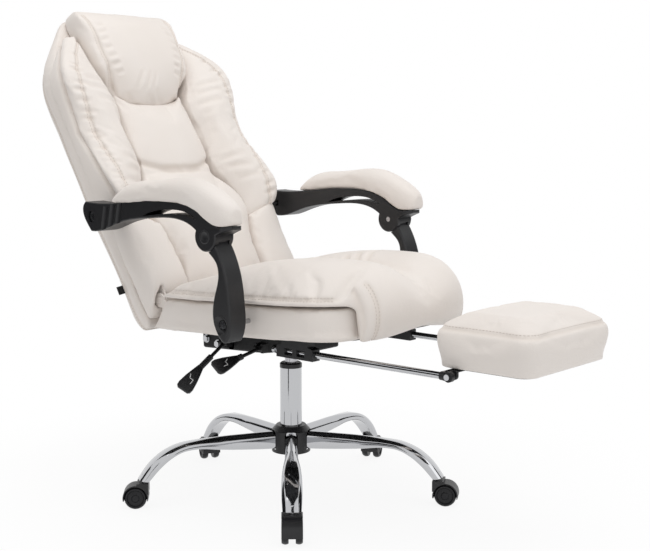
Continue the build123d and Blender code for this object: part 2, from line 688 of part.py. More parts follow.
def arm_plan():
    """Plan of the left arm as a block with a round front end, to trim the frame by."""
    r = (ARM_OUT - ARM_IN) / 2
    start = -LIP[0] + r
    long = Pos(ARM_IN + r, (start + 360) / 2, 650) * Box(2 * r, 360 - start, 300)
    return long + Pos(ARM_IN + r, start, 650) * Cylinder(r, 300)


def arm_frame():
    """Left arm frame: rear paddle, split beam with a long slot, forked hinge discs and a lip."""
    au, az = PIVOT_FRONT
    cu, cz = PIVOT_REAR
    lip = Line((-LIP[0], LIP[1]), (-LIP[0] + 4, LIP[1] - 10))
    under = Spline((-LIP[0] + 4, LIP[1] - 10), (-104, 630), (-66, 618), (-34, 636), (20, 654), (100, 652), (160, 646),
                   (225, 630), (272, 615), (300, 613))
    end = Spline((300, 613), (316, 632), (328, 662), (319, 678))
    outline = fillet(make_face(arm_top() + lip + under + end).vertices(), 3.6)
    body = Pos(ARM_IN, 0, 0) * extrude(Plane.YZ * outline, ARM_OUT - ARM_IN)
    body = fillet(long_edges(body), 3) & arm_plan()
    upper = Spline((126, 655), (104, 664), (44, 673), (-8, 670), (-40, 656))
    lower = Spline((-40, 656), (-12, 662), (44, 664), (126, 655))
    slot = Pos(ARM_IN - 5, 0, 0) * extrude(side_face(upper + lower), ARM_OUT - ARM_IN + 10)
    body = body - slot
    disc = rod_x(ARM_IN, ARM_OUT, au, az, DISC_R)
    disc = chamfer(disc.edges().filter_by(GeomType.CIRCLE), 2.5)
    body = body + disc
    fork = rod_x(ARM_IN + FORK, ARM_OUT - FORK, au, az, BARREL_R + 1.5)
    wedge = Pos((ARM_IN + ARM_OUT) / 2, -au, az - 30) * Box(ARM_OUT - ARM_IN - 2 * FORK, 74, 46)
    body = body - fork - wedge
    body = body - rod_x(ARM_IN - 5, ARM_OUT - 4, au, az, ARM_PIN_R)
    body = body - rod_x(ARM_IN - 5, ARM_OUT + 5, cu, cz, BOLT_R + LINK_SLACK)
    body = body - rod_x(ARM_OUT - 14.6, ARM_OUT + 5, cu, cz, 10.5 + LINK_SLACK)
    for i in range(3):
        flute = Pos(ARM_OUT + 13, 252 - 24 * i, 640 + 6 * i) * Rot(X=12) * Cylinder(16, 60)
        body = body - flute
    return body


def long_edges(body):
    """Outline edges of the two flat faces of an extruded frame."""
    left = body.faces().sort_by(Axis.X)[0]
    right = body.faces().sort_by(Axis.X)[-1]
    return left.outer_wire().edges() + right.outer_wire().edges()


def arm_pin():
    """Hinge pin of the left armrest."""
    return rod_x(ARM_IN + 1, ARM_OUT - 4, *PIVOT_FRONT, ARM_PIN_R)


def pad_section(u, low, high, half):
    """Cross-section of the armrest pad: flat below, round sides, crowned top."""
    base = Line((-half, low), (half, low))
    shoulder = low + (high - low) * 0.62
    right = ThreePointArc((half, low), (half + 3, (low + shoulder) / 2), (half, shoulder))
    top = ThreePointArc((half, shoulder), (0, high), (-half, shoulder))
    left = ThreePointArc((-half, shoulder), (-half - 3, (low + shoulder) / 2), (-half, low))
    return Pos(PAD_X, -u, 0) * UPRIGHT * make_face(base + right + top + left)


def arm_pad():
    """Padded left armrest that follows the top of the arm frame."""
    rows = [(-230, 677, 691, 22), (-202, 674, 713, 28), (-122, 680, 729, 31), (-28, 682, 738, 32),
            (47, 660, 733, 32), (94, 642, 713, 31), (121, 641, 697, 26), (LIP[0] + 4, 650, 681, 14)]
    pad = loft([pad_section(*row) for row in rows])
    under = Polyline((-LIP[0], LIP[1]), (-190, LIP[1]), (-190, 580), (360, 580), (360, 678), (319, 678))
    cut = Pos(ARM_IN - 30, 0, 0.4) * extrude(side_face(arm_top() + under), ARM_OUT - ARM_IN + 60)
    return pad - cut


def post():
    """Left front post: curved strut with the hinge barrel on top and a scooped bolt recess below."""
    au, az = PIVOT_FRONT
    du, dz = PIVOT_POST
    edge = Spline((-au - 20, az - 6), (-108, 578), (-124, 530), (-131, 478), (-130, 432), (-du - 11, 407),
                  (-94, 424), (-81, 458), (-86, 500), (-97, 538), (-88, 574), (-au + 2, az - 14), periodic=True)
    body = Pos(ARM_IN + 3, 0, 0) * extrude(side_face(edge), ARM_OUT - ARM_IN - 6)
    body = fillet(long_edges(body), 5)
    for x in (ARM_IN, ARM_OUT - FORK - SLIP):
        body = body - rod_x(x - 1, x + FORK + SLIP + 1, au, az, DISC_R + 1.2)
    body = body + rod_x(ARM_IN + FORK + SLIP, ARM_OUT - FORK - SLIP, au, az, BARREL_R)
    body = body - rod_x(ARM_IN - 5, ARM_OUT + 5, au, az, ARM_PIN_R + RUN)
    body = body - rod_x(ARM_IN - 5, ARM_OUT + 5, du, dz, BOLT_R + RUN)
    scoop = Pos(ARM_OUT + 12, -du, dz) * Sphere(25)
    body = body - scoop
    return body - rod_x(ARM_OUT - 18.2, ARM_OUT + 5, du, dz, 10.5)


# Footrest


def footrest_frame():
    """Chrome frame: two rods with stop collars and a cross tube."""
    rear = RAIL_BACK - 18
    front = FOOT_U - 9
    parts = rod_x(-RAIL_X, RAIL_X, FOOT_U - 28, RAIL_Z, 5)
    for x in (-RAIL_X, RAIL_X):
        parts = parts + Pos(x, -(rear + front) / 2, RAIL_Z) * Rot(X=90) * Cylinder(RAIL_R, front - rear)
        parts = parts + Pos(x, -rear - 6, RAIL_Z) * Rot(X=90) * Cylinder(RAIL_R + 2.5, 8)
    return parts


def rod_end_caps():
    """Eye fittings on the front ends of the rods."""
    eye = rod_x(RAIL_X - 5, RAIL_X + 5, FOOT_U, RAIL_Z, 10.5)
    neck = Pos(RAIL_X, -FOOT_U + 13, RAIL_Z) * Rot(X=90) * Cylinder(8.5, 12)
    neck = neck + Pos(RAIL_X, -FOOT_U + 7, RAIL_Z) * Box(9, 10, 16)
    cap = eye + neck - rod_x(RAIL_X - 20, RAIL_X + 20, FOOT_U, RAIL_Z, 4 + RUN)
    hole = Pos(RAIL_X, -FOOT_U + 9 + 30, RAIL_Z) * Rot(X=90) * Cylinder(RAIL_R + 0.02, 60)
    return group(both_sides(cap - hole))


def footrest_bolts():
    """Hinge bolts through the eyes into the footrest bracket."""
    shank = rod_x(RAIL_X - 20, RAIL_X + 5.4, FOOT_U, RAIL_Z, 4)
    head = rod_x(RAIL_X + 5.4, RAIL_X + 10, FOOT_U, RAIL_Z, 6)
    return group(both_sides(shank + head))


def footrest_bracket():
    """Steel bracket under the pad with two hinge lugs."""
    plate = Pos(0, -(FOOT_U + 45), FOOT_LOW - 3) * extrude(RectangleRounded(250, 150, 14), 2.6)
    for x in (-60, 60):
        plate = plate - Pos(x, -(FOOT_U + 60), FOOT_LOW) * Box(60, 60, 20)
    strap = Pos(0, -FOOT_U, FOOT_LOW - 1.7) * Box(2 * RAIL_X - 24, 17, 2.6)
    part = plate + strap
    for x in (-1, 1):
        lug = rod_x(RAIL_X - 19, RAIL_X - 12, FOOT_U, RAIL_Z, 8.6)
        lug = lug + Pos(RAIL_X - 15.5, -FOOT_U, RAIL_Z + 5) * Box(7, 17, 9.2)
        lug = lug - rod_x(RAIL_X - 30, RAIL_X, FOOT_U, RAIL_Z, 4 + RUN)
        part = part + (lug if x > 0 else mirror(lug, about=Plane.YZ))
    return part


def foot_outline(grow):
    """Plan outline of the footrest pad with rounded corners."""
    wide = 2 * (FOOT_HALF + grow)
    deep = FOOT_FRONT - FOOT_REAR + 2 * grow
    return RectangleRounded(wide, deep, 36 + grow * 0.5)


def footrest_board():
    """Board inside the bottom of the footrest pad."""
    return Pos(0, -(FOOT_REAR + FOOT_FRONT) / 2, FOOT_LOW) * extrude(foot_outline(-14), 9)


def footrest_cushion():
    """Footrest pad with bowed borders and a crowned top."""
    at = Pos(0, -(FOOT_REAR + FOOT_FRONT) / 2, 0)
    levels = [(FOOT_LOW, -2), (FOOT_LOW + 38, 3), (FOOT_SEAM, 0), (FOOT_SEAM + 12, -14), (FOOT_CROWN, -42)]
    pad = loft([at * Pos(0, 0, z) * foot_outline(g) for z, g in levels])
    return pad - at * Pos(0, 0, FOOT_LOW - 1) * extrude(foot_outline(-13.6), 10.4)


def main():
    """Build every node and write it to the parts folder."""
    os.makedirs("parts", exist_ok=True)
    save("base_star", base_star())
    save("hub_cover", hub_cover())
    save("caster_stems", group([place * caster_stem() for place in stem_places()]))
    hood = caster_hood()
    wheels = caster_wheels()
    for i, place in enumerate(stem_places()):
        turn = place * Rot(Z=CASTER_TURNS[i])
        save("caster_hood_" + str(i + 1), turn * hood)
        save("caster_wheels_" + str(i + 1), turn * wheels)
    save("column_tube", column_tube())
    save("column_bush", column_bush())
    save("thrust_bearing", thrust_bearing())
    save("piston_rod", piston_rod())
    save("gas_cylinder", gas_cylinder())
    save("valve_pin", valve_pin())
    save("mechanism_pan", mechanism_pan())
    save("mechanism_plate", mechanism_plate())
    save("mechanism_bolts", mechanism_bolts())
    save("lever_brackets", group([lever_bracket(HEIGHT_LEVER_U), lever_bracket(RECLINE_LEVER_U)]))
    save("height_lever_rod", lever_rod(HEIGHT_LEVER_U, 86, 52))
    save("height_lever_paddle", lever_paddle(HEIGHT_LEVER_U, 86, 52, 72, 8))
    save("recline_lever_rod", lever_rod(RECLINE_LEVER_U, 92, 17))
    save("recline_lever_paddle", lever_paddle(RECLINE_LEVER_U, 92, 17, 72, 2))
    save("seat_board", seat_board())
    save("seat_base", seat_base())
    save("seat_pillow", seat_pillow())
    save("seat_front_roll", seat_front_roll())
    save("seat_side_plates", seat_side_plates())
    save("post_bolts", post_bolts())
    save("footrest_rails", footrest_rails())
    save("back_shell", back_shell())
    save("back_board", back_board())
    save("back_side_arms", back_side_arms())
    save("lumbar_pad", lumbar_pad())
    save("center_pad", center_pad())
    save("headrest", headrest())
    save("arm_pivot_bolts", arm_pivot_bolts())
    save("seam_tab", seam_tab())
    save("lower_bolsters", group(both_sides(bolster())))
    sides = {"left": 1, "right": -1}
    makers = {"wing": wing, "arm_frame": arm_frame, "arm_pad": arm_pad, "arm_pin": arm_pin, "post": post}
    for name, maker in makers.items():
        left = maker()
        for side, sign in sides.items():
            save(name + "_" + side, left if sign > 0 else mirror(left, about=Plane.YZ))
    save("footrest_frame", footrest_frame())
    save("rod_end_caps", rod_end_caps())
    save("footrest_bolts", footrest_bolts())
    save("footrest_bracket", footrest_bracket())
    save("footrest_board", footrest_board())
    save("footrest_cushion", footrest_cushion())


main()
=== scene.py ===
"""Looks of a reclining office chair with footrest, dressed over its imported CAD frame."""

import json
import logging
import math
from dataclasses import dataclass, field
from enum import Enum
from typing import Callable, Dict, Iterator, List, Optional, Sequence, Tuple

import bmesh
import bpy
import numpy as np
from bmesh.types import BMesh, BMVert
from bpy.types import Material, Node, NodeSocket, NodeTree, Object
from mathutils import Matrix, Vector


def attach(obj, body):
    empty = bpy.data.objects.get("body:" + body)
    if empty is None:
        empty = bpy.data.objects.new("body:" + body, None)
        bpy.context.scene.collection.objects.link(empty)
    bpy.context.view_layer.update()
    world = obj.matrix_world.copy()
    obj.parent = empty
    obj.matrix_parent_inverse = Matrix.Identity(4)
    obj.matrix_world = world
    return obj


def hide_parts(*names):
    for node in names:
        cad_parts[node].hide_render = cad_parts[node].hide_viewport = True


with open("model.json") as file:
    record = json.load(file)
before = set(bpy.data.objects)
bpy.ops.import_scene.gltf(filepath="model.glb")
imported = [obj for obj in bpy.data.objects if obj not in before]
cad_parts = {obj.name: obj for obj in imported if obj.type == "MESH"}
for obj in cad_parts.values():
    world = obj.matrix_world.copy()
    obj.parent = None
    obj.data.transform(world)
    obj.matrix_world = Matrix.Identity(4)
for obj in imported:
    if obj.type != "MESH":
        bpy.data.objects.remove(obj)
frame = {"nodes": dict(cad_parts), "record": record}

Point = Tuple[float, float, float]
Pairs = Tuple[Tuple[float, float], ...]
Tube = Tuple[float, float, float, float]
PointMap = Callable[[np.ndarray], np.ndarray]
LOG = logging.getLogger("chair")
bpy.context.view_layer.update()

# hard pieces: points closer than this are one, and edges sharper than this (radians) stay sharp
MERGE = 1e-6
SHARP = 0.6
# covers: painted shade (a darker, warmer tint) in a seam and in a fold, the fold depth that gives
# the full painted shade, and the most painted shade in all
PAINTED_LINE_SHADE = 0.3
FULL_FOLD = 0.012
MOST_PAINTED_SHADE = 0.5
# cloth of every cushion
CLOTH = {"quality": 5, "mass": 0.25, "tension_stiffness": 12, "compression_stiffness": 12,
         "shear_stiffness": 6, "bending_stiffness": 0.8, "use_pressure": True}
PRESSURE = (2.0, 3.0)
# numbers of a colour mix node's sockets
MIX_SHARE, MIX_FIRST, MIX_SECOND, MIX_RESULT = 0, 6, 7, 2


class Slot(Enum):
    """Material slots of the record."""

    LEATHER = "cream_leather"
    PLASTIC = "black_plastic"
    WHEEL = "wheel_plastic"
    CHROME = "chrome"
    STEEL = "steel"
    BLACK_STEEL = "black_steel"
    PLY = "plywood"
    TAPE = "black_fabric"


@dataclass(frozen=True)
class Nodes:
    """Adds and links the shader nodes of one tree.

    Args:
        tree: the node tree.
    """

    tree: NodeTree

    def add(self, kind: str, inputs: Dict, **options) -> Node:
        """Add a node.

        Args:
            kind: node type.
            inputs: value, or socket to link, for each input name or number.
            options: settings such as the operation.

        Returns:
            The new node.
        """
        node = self.tree.nodes.new(kind)
        for name, value in options.items():
            setattr(node, name, value)
        self.feed(node, inputs)
        return node

    def feed(self, node: Node, inputs: Dict) -> None:
        """Set or link inputs of a node, as add does."""
        for key, value in inputs.items():
            if isinstance(value, NodeSocket):
                self.tree.links.new(value, node.inputs[key])
            else:
                node.inputs[key].default_value = value

    def seen(self) -> NodeSocket:
        """Socket that is 1 for camera, glossy and transmission rays."""
        path = self.add("ShaderNodeLightPath", {}).outputs
        most = path["Is Camera Ray"]
        for ray in ("Is Glossy Ray", "Is Transmission Ray"):
            larger = self.add("ShaderNodeMath", {0: most, 1: path[ray]}, operation="MAXIMUM")
            most = larger.outputs["Value"]
        return most


@dataclass(frozen=True)
class Finish:
    """One procedural surface finish.

    Args:
        name: material name.
        color: base colour, linear.
        roughness: base roughness.
        metallic: metal share.
        grain: size of the surface grain in metres, 0 for none.
        depth: bump height of the grain in metres.
        mottle: strength of the slow colour and roughness variation.
        warm: colour that slow patches lean to, and that seams and creases lean to as painted shade.
        sheen: soft sheen weight.
        shine: specular level.
        folds: True where the cover carries a fold attribute of painted shade to tint by.
    """

    name: str
    color: Point
    roughness: float
    metallic: float = 0.0
    grain: float = 0.0
    depth: float = 0.0
    mottle: float = 0.0
    warm: Point = (0.0, 0.0, 0.0)
    sheen: float = 0.0
    shine: float = 0.5
    folds: bool = False

    def build(self) -> Material:
        """Make the node material, unless it is there already.

        Returns:
            The material, with patterns on Object coordinates.
        """
        name = "look_" + self.name
        found = bpy.data.materials.get(name)
        if found:
            return found
        mat = bpy.data.materials.new(name)
        mat.use_nodes = True
        nodes = Nodes(mat.node_tree)
        shader = mat.node_tree.nodes["Principled BSDF"]
        nodes.feed(shader, {
            "Base Color": (*self.color, 1), "Roughness": self.roughness, "Metallic": self.metallic,
            "Sheen Weight": self.sheen, "Specular IOR Level": self.shine})
        place = nodes.add("ShaderNodeTexCoord", {}).outputs["Object"]
        if self.mottle:
            self._mottle(nodes, shader, place)
        if self.grain:
            self._grain(nodes, shader, place)
        return mat

    def _mottle(self, nodes: Nodes, shader: Node, place: NodeSocket) -> None:
        """Slow variation of colour and roughness."""
        noise = nodes.add("ShaderNodeTexNoise", {"Scale": 9.0, "Detail": 4.0, "Vector": place})
        cloud = noise.outputs["Fac"]
        ramp = nodes.add("ShaderNodeValToRGB", {"Fac": cloud})
        share = self.mottle
        low = [c * (1 - share) + w * share for c, w in zip(self.color, self.warm)]
        for stop, at, color in zip(ramp.color_ramp.elements, (0.35, 0.7), (low, self.color)):
            stop.position = at
            stop.color = (*color, 1)
        tone = ramp.outputs["Color"]
        # painted shade: the fold attribute darkens seams and creases towards the warm colour
        if self.folds:
            fold = nodes.add("ShaderNodeAttribute", {}, attribute_name="fold").outputs["Fac"]
            parts = {MIX_SHARE: fold, MIX_FIRST: tone, MIX_SECOND: (*self.warm, 1)}
            tone = nodes.add("ShaderNodeMix", parts, data_type="RGBA").outputs[MIX_RESULT]
        span = nodes.add("ShaderNodeMapRange", {
            "To Min": max(self.roughness - 0.08, 0.02), "To Max": min(self.roughness + 0.08, 1.0),
            "Value": cloud})
        nodes.feed(shader, {"Base Color": tone, "Roughness": span.outputs["Result"]})

    def _grain(self, nodes: Nodes, shader: Node, place: NodeSocket) -> None:
        """Fine bump of pebbles over a faint cloud."""
        cells = nodes.add("ShaderNodeTexVoronoi", {"Scale": 1.0 / self.grain, "Vector": place},
                          feature="SMOOTH_F1")
        fine = nodes.add("ShaderNodeTexNoise",
                         {"Scale": 0.35 / self.grain, "Detail": 3.0, "Vector": place})
        both = nodes.add("ShaderNodeMath",
                         {0: cells.outputs["Distance"], 1: 0.6, 2: fine.outputs["Fac"]},
                         operation="MULTIPLY_ADD")
        bump = nodes.add("ShaderNodeBump", {"Strength": 0.5, "Distance": self.depth,
                                            "Height": both.outputs["Value"]})
        nodes.feed(shader, {"Normal": bump.outputs["Normal"]})


FINISHES: Dict[Slot, Finish] = {
    # the leather's warm colour serves both its slow tone patches and the painted shade of seams and
    # creases
    Slot.LEATHER: Finish("cream_leather", (0.82, 0.766, 0.722), 0.5, grain=0.0021, depth=0.0005,
                         mottle=0.12, warm=(0.70, 0.61, 0.53), sheen=0.04, shine=0.35, folds=True),
    Slot.PLASTIC: Finish("black_plastic", (0.013, 0.013, 0.0145), 0.38, grain=0.0011, depth=0.0002,
                         mottle=0.25, warm=(0.021, 0.021, 0.023), shine=0.42),
    Slot.WHEEL: Finish("wheel_plastic", (0.012, 0.012, 0.014), 0.38, grain=0.002, depth=0.0001,
                       mottle=0.2, warm=(0.022, 0.022, 0.025), shine=0.3),
    Slot.CHROME: Finish("chrome", (0.52, 0.525, 0.54), 0.06, metallic=1.0, mottle=0.12,
                        warm=(0.4, 0.41, 0.43)),
    Slot.STEEL: Finish("steel", (0.55, 0.55, 0.57), 0.28, metallic=1.0, grain=0.0012, depth=0.00008,
                       mottle=0.2, warm=(0.4, 0.4, 0.42)),
    Slot.BLACK_STEEL: Finish("black_steel", (0.010, 0.010, 0.011), 0.5, grain=0.0016, depth=0.0002,
                             mottle=0.2, warm=(0.02, 0.02, 0.02), shine=0.35),
    Slot.PLY: Finish("plywood", (0.5, 0.36, 0.22), 0.65, grain=0.004, depth=0.0003, mottle=0.5,
                     warm=(0.36, 0.24, 0.13)),
    Slot.TAPE: Finish("black_fabric", (0.02, 0.02, 0.02), 0.9, grain=0.0009, depth=0.0003,
                      mottle=0.2, warm=(0.035, 0.035, 0.035), shine=0.2),
}
THREAD = Finish("thread", (0.70, 0.645, 0.60), 0.7, grain=0.0008, depth=0.0002, mottle=0.3,
                warm=(0.6, 0.5, 0.42))
MARK = Finish("white_mark", (0.8, 0.8, 0.8), 0.6, grain=0.001, depth=0.0001)


@dataclass(frozen=True)
class LocalFrame:
    """A tilted frame of a sub-assembly.

    Args:
        origin: place of the frame's origin.
        tilt: turn about X in degrees.
    """

    origin: Point
    tilt: float

    def matrix(self) -> Matrix:
        """Local to world matrix."""
        return Matrix.Translation(self.origin) @ Matrix.Rotation(math.radians(self.tilt), 4, "X")

    def local(self, points: np.ndarray) -> np.ndarray:
        """World points in this frame."""
        inv = np.array(self.matrix().inverted())
        return points @ inv[:3, :3].T + inv[:3, 3]

    def world(self, points: np.ndarray) -> np.ndarray:
        """Points of this frame in the world."""
        turn = np.array(self.matrix())
        return points @ turn[:3, :3].T + turn[:3, 3]


SEAT = LocalFrame((0.0, 0.0, 0.398), -2.7)
BACK = LocalFrame((0.0, 0.230, 0.400), -30.0)
WORLD = LocalFrame((0.0, 0.0, 0.0), 0.0)


@dataclass
class Seam:
    """A sewn line where a level function crosses zero on a cushion, with painted shade along it.

    Args:
        level: value per local point; the seam runs where it is zero.
        where: mask per local point.
        depth: how far the seam draws the cover in, in metres.
        width: half-width of the drawn-in valley and of its painted shade.
        rows: offsets of the stitch rows in level units.
    """

    level: PointMap
    where: PointMap
    depth: float = 0.004
    width: float = 0.006
    rows: Sequence[float] = ()


@dataclass
class Crease:
    """One soft fold in a cover, between two local points.

    Args:
        start: first end.
        end: second end.
        depth: depth in metres; negative raises a ridge.
        width: half-width in metres.
    """

    start: Point
    end: Point
    depth: float = 0.003
    width: float = 0.008

    def laid_on(self, local: np.ndarray) -> "Crease":
        """The same fold with its ends moved to the nearest points of a cover.

        Args:
            local: points of the cover in its frame.

        Returns:
            The moved fold.
        """
        spots = []
        for end in (self.start, self.end):
            nearest = int(np.argmin(((local - np.array(end)) ** 2).sum(axis=1)))
            spots.append(tuple(float(v) for v in local[nearest]))
        return Crease(spots[0], spots[1], self.depth, self.width)


@dataclass
class Cushion:
    """A stuffed piece grown from one or more CAD solids.

    Args:
        name: name of the finished piece.
        nodes: CAD nodes it stands for.
        body: body it rides on.
        place: frame that seams and folds are given in.
        voxel: remesh size.
        shrink: how much smaller the start shape is.
        cap: furthest a point may move in the simulation.
        fill: how tight it is stuffed.
        slack: spare cover, as a share of its size.
        spread: how far the solids are grown before they are joined.
        seams: sewn lines.
        creases: folds.
        pins: mask of local points that stay put.
        shape: change of the local start points, where the cover differs from the plain solid.
    """

    name: str
    nodes: Tuple[str, ...]
    body: str
    place: LocalFrame
    voxel: float = 0.006
    shrink: float = 0.003
    cap: float = 0.012
    fill: float = 0.7
    slack: float = 0.0
    spread: float = 0.0
    seams: List[Seam] = field(default_factory=list)
    creases: List[Crease] = field(default_factory=list)
    pins: Optional[PointMap] = None
    shape: Optional[PointMap] = None
    obj: Optional[Object] = None
    start: Optional[np.ndarray] = None
    volume: float = 0.0

    def begin(self) -> None:
        """Copy, join, remesh and shrink the solids."""
        work = bmesh.new()
        for node in self.nodes:
            work.from_mesh(frame["nodes"][node].data)
        bmesh.ops.remove_doubles(work, verts=work.verts, dist=1e-5)
        self.obj = new_object(self.name, work)
        if self.spread:
            self._grow(self.spread)
        remesh = self.obj.modifiers.new("remesh", "REMESH")
        remesh.mode = "VOXEL"
        remesh.voxel_size = self.voxel
        apply_all(self.obj)
        points = read_points(self.obj)
        if self.shape is not None:
            points = self.place.world(self.shape(self.place.local(points)))
            write_points(self.obj, points)
        self.volume = volume_of(self.obj)
        points = smooth_points(self.obj, points - read_normals(self.obj) * self.shrink, 2)
        write_points(self.obj, points)
        self.start = points

    def simulate(self) -> None:
        """Add the cloth that the shared time steps will swell."""
        cloth = self.obj.modifiers.new("cloth", "CLOTH")
        settings = cloth.settings
        for name, value in CLOTH.items():
            setattr(settings, name, value)
        settings.uniform_pressure_force = PRESSURE[0] + PRESSURE[1] * self.fill
        settings.shrink_min = -self.slack
        settings.effector_weights.gravity = 0
        cloth.collision_settings.use_collision = False
        if self.pins is not None:
            held = np.nonzero(self.pins(self.place.local(self.start)))[0]
            group = self.obj.vertex_groups.new(name="held")
            group.add([int(i) for i in held], 1.0, "REPLACE")
            settings.vertex_group_mass = "held"

    def settle(self) -> None:
        """Keep the simulated shape, within the cap, and sew and fold the cover."""
        if self.obj.modifiers:
            apply_all(self.obj)
            moved = read_points(self.obj) - self.start
            far = np.linalg.norm(moved, axis=1, keepdims=True)
            keep = np.minimum(1.0, self.cap / np.maximum(far, 1e-9))
            write_points(self.obj, self.start + moved * keep)
            self.obj.vertex_groups.clear()
        write_points(self.obj, smooth_points(self.obj, read_points(self.obj), 1))
        self._fill_out()
        self._refine()
        self._sew()
        shade_smooth(self.obj)
        self.obj.data.materials.clear()
        self.obj.data.materials.append(FINISHES[Slot.LEATHER].build())
        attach(self.obj, self.body)
        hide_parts(*self.nodes)
        LOG.info("cushion %s: %d faces", self.obj.name, len(self.obj.data.polygons))

    def _grow(self, by: float) -> None:
        """Move every point outwards by a distance."""
        write_points(self.obj, read_points(self.obj) + read_normals(self.obj) * by)

    def _fill_out(self) -> None:
        """Bring the cover back to the volume of its solid."""
        for _ in range(2):
            self._grow((self.volume - volume_of(self.obj)) / area_of(self.obj))

    def _refine(self) -> None:
        """Subdivide once so that seams and folds have points to shape."""
        sub = self.obj.modifiers.new("finer", "SUBSURF")
        sub.levels = sub.render_levels = 1
        apply_all(self.obj)

    def _sew(self) -> None:
        """Draw in the seams, press in the folds, paint shade into both and lay the stitches."""
        points = read_points(self.obj)
        local = self.place.local(points)
        inward = np.zeros(len(points))
        # painted shade: seams and folds get a darker, warmer tint that stands in for the shade in
        # them
        painted_shade = np.zeros(len(points))
        for seam in self.seams:
            near = np.exp(-((seam.level(local) / seam.width) ** 2)) * seam.where(local)
            inward += seam.depth * near
            painted_shade += PAINTED_LINE_SHADE * near
        for crease in self.creases:
            deep = fold_depth(local, crease.laid_on(local))
            inward += deep
            painted_shade += np.clip(deep / FULL_FOLD, 0, PAINTED_LINE_SHADE)
        write_points(self.obj, points - read_normals(self.obj) * inward[:, None])
        # the fold attribute holds that painted shade, and the leather mixes it towards its warm
        # colour
        fold = self.obj.data.attributes.new("fold", "FLOAT", "POINT")
        fold.data.foreach_set("value", np.clip(painted_shade, 0, MOST_PAINTED_SHADE).astype(np.float32))
        for i, seam in enumerate(self.seams):
            for j, row in enumerate(seam.rows):
                thread = Stitches("%s_stitch_%d_%d" % (self.name, i, j), self.body)
                thread.along(self.obj, self.place, seam, row)


def fold_depth(local: np.ndarray, crease: Crease) -> np.ndarray:
    """Inward move of each point from one fold, with a low ridge along both its sides.

    Args:
        local: points in the cushion's frame.
        crease: the fold.

    Returns:
        Depth per point.
    """
    ridge, ridge_at, taper = 0.35, 1.9, 0.8
    a = np.array(crease.start)
    d = np.array(crease.end) - a
    size = float(d @ d)
    t = np.clip((local - a) @ d / size, -0.3, 1.3)
    gap = np.linalg.norm(local - a - np.clip(t, 0, 1)[:, None] * d, axis=1)
    fade = np.clip(1 - (2 * t - 1) ** 2 * taper, 0, 1)
    x = gap / crease.width
    return crease.depth * fade * (np.exp(-(x**2)) - ridge * np.exp(-((x - ridge_at) ** 2)))


@dataclass
class Stitches:
    """A row of thread stitches.

    Args:
        name: object name.
        body: body it rides on.
        pitch: distance between stitches.
        length: length of one stitch.
        radius: thread radius.
        sides: sides of the thread.
        spindle: place along a stitch and share of the radius there.
        rise: how far the thread stands out, as a share of its radius.
    """

    name: str
    body: str
    pitch: float = 0.0075
    length: float = 0.0052
    radius: float = 0.0007
    sides: int = 6
    spindle: Pairs = ((-0.5, 0.35), (-0.25, 1.0), (0.25, 1.0), (0.5, 0.35))
    rise: float = 0.3

    def along(self, obj: Object, place: LocalFrame, seam: Seam, row: float) -> None:
        """Lay stitches where the seam's level equals the row's offset.

        Args:
            obj: cover that carries them.
            place: frame of the seam.
            seam: the seam.
            row: level of this row.
        """
        runs = level_lines(obj, place, lambda p: seam.level(p) - row, seam.where)
        out = bmesh.new()
        for run in runs:
            for spot, way, up in resample(run, self.pitch):
                self._one(out, spot, way, up)
        if not out.verts:
            out.free()
            return
        piece = new_object(self.name, out)
        shade_smooth(piece)
        piece.data.materials.append(THREAD.build())
        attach(piece, self.body)

    def _one(self, out: BMesh, spot: Vector, way: Vector, up: Vector) -> None:
        """Add one stitch: a short spindle."""
        side = way.cross(up).normalized()
        rings = []
        for t, r in self.spindle:
            ring = []
            for k in range(self.sides):
                a = math.tau * k / self.sides
                off = side * math.cos(a) * self.radius * r + up * math.sin(a) * self.radius * r
                at = spot + way * t * self.length + off + up * self.radius * self.rise
                ring.append(out.verts.new(at))
            rings.append(ring)
        skin(out, rings)


def level_lines(obj: Object, place: LocalFrame, level: PointMap,
                where: PointMap) -> List[List[Tuple[Vector, Vector]]]:
    """Polylines on a mesh where a level function is zero.

    Args:
        obj: mesh object.
        place: frame the level is given in.
        level: level function of local points.
        where: mask of local points.

    Returns:
        Runs of (point, normal).
    """
    points = read_points(obj)
    normals = read_normals(obj)
    local = place.local(points)
    value = level(local)
    corners = np.empty(len(obj.data.loops), np.int64)
    obj.data.loops.foreach_get("vertex_index", corners)
    quads = corners.reshape(-1, 4)
    above = value[quads] > 0
    crossed = above.any(1) & ~above.all(1) & (where(local)[quads] > 0.5).all(1)
    links: Dict[Tuple[int, int], List[Tuple[int, int]]] = {}
    for quad in quads[crossed].tolist():
        cut = []
        for a, b in zip(quad, quad[1:] + quad[:1]):
            if (value[a] > 0) != (value[b] > 0):
                cut.append((min(a, b), max(a, b)))
        if len(cut) == 2:
            links.setdefault(cut[0], []).append(cut[1])
            links.setdefault(cut[1], []).append(cut[0])
    runs = []
    unseen = set(links)
    ends = sorted(k for k in links if len(links[k]) == 1)
    while unseen:
        here = next((k for k in ends if k in unseen), None) or min(unseen)
        run = []
        while here is not None:
            unseen.discard(here)
            a, b = here
            t = value[a] / (value[a] - value[b])
            run.append((Vector(points[a] + (points[b] - points[a]) * t), Vector(normals[a])))
            here = next((k for k in links[here] if k in unseen), None)
        if len(run) > 6:
            runs.append(run)
    return runs


def resample(run: List[Tuple[Vector, Vector]],
             pitch: float) -> Iterator[Tuple[Vector, Vector, Vector]]:
    """Evenly spaced stations of a polyline.

    Args:
        run: list of (point, normal).
        pitch: spacing.

    Yields:
        Point, direction and normal.
    """
    gone = pitch * 0.5
    for (a, na), (b, _) in zip(run, run[1:]):
        step = (b - a).length
        if step < 1e-7:
            continue
        way = (b - a) / step
        while gone <= step:
            yield a + way * gone, way, na
            gone += pitch
        gone -= step


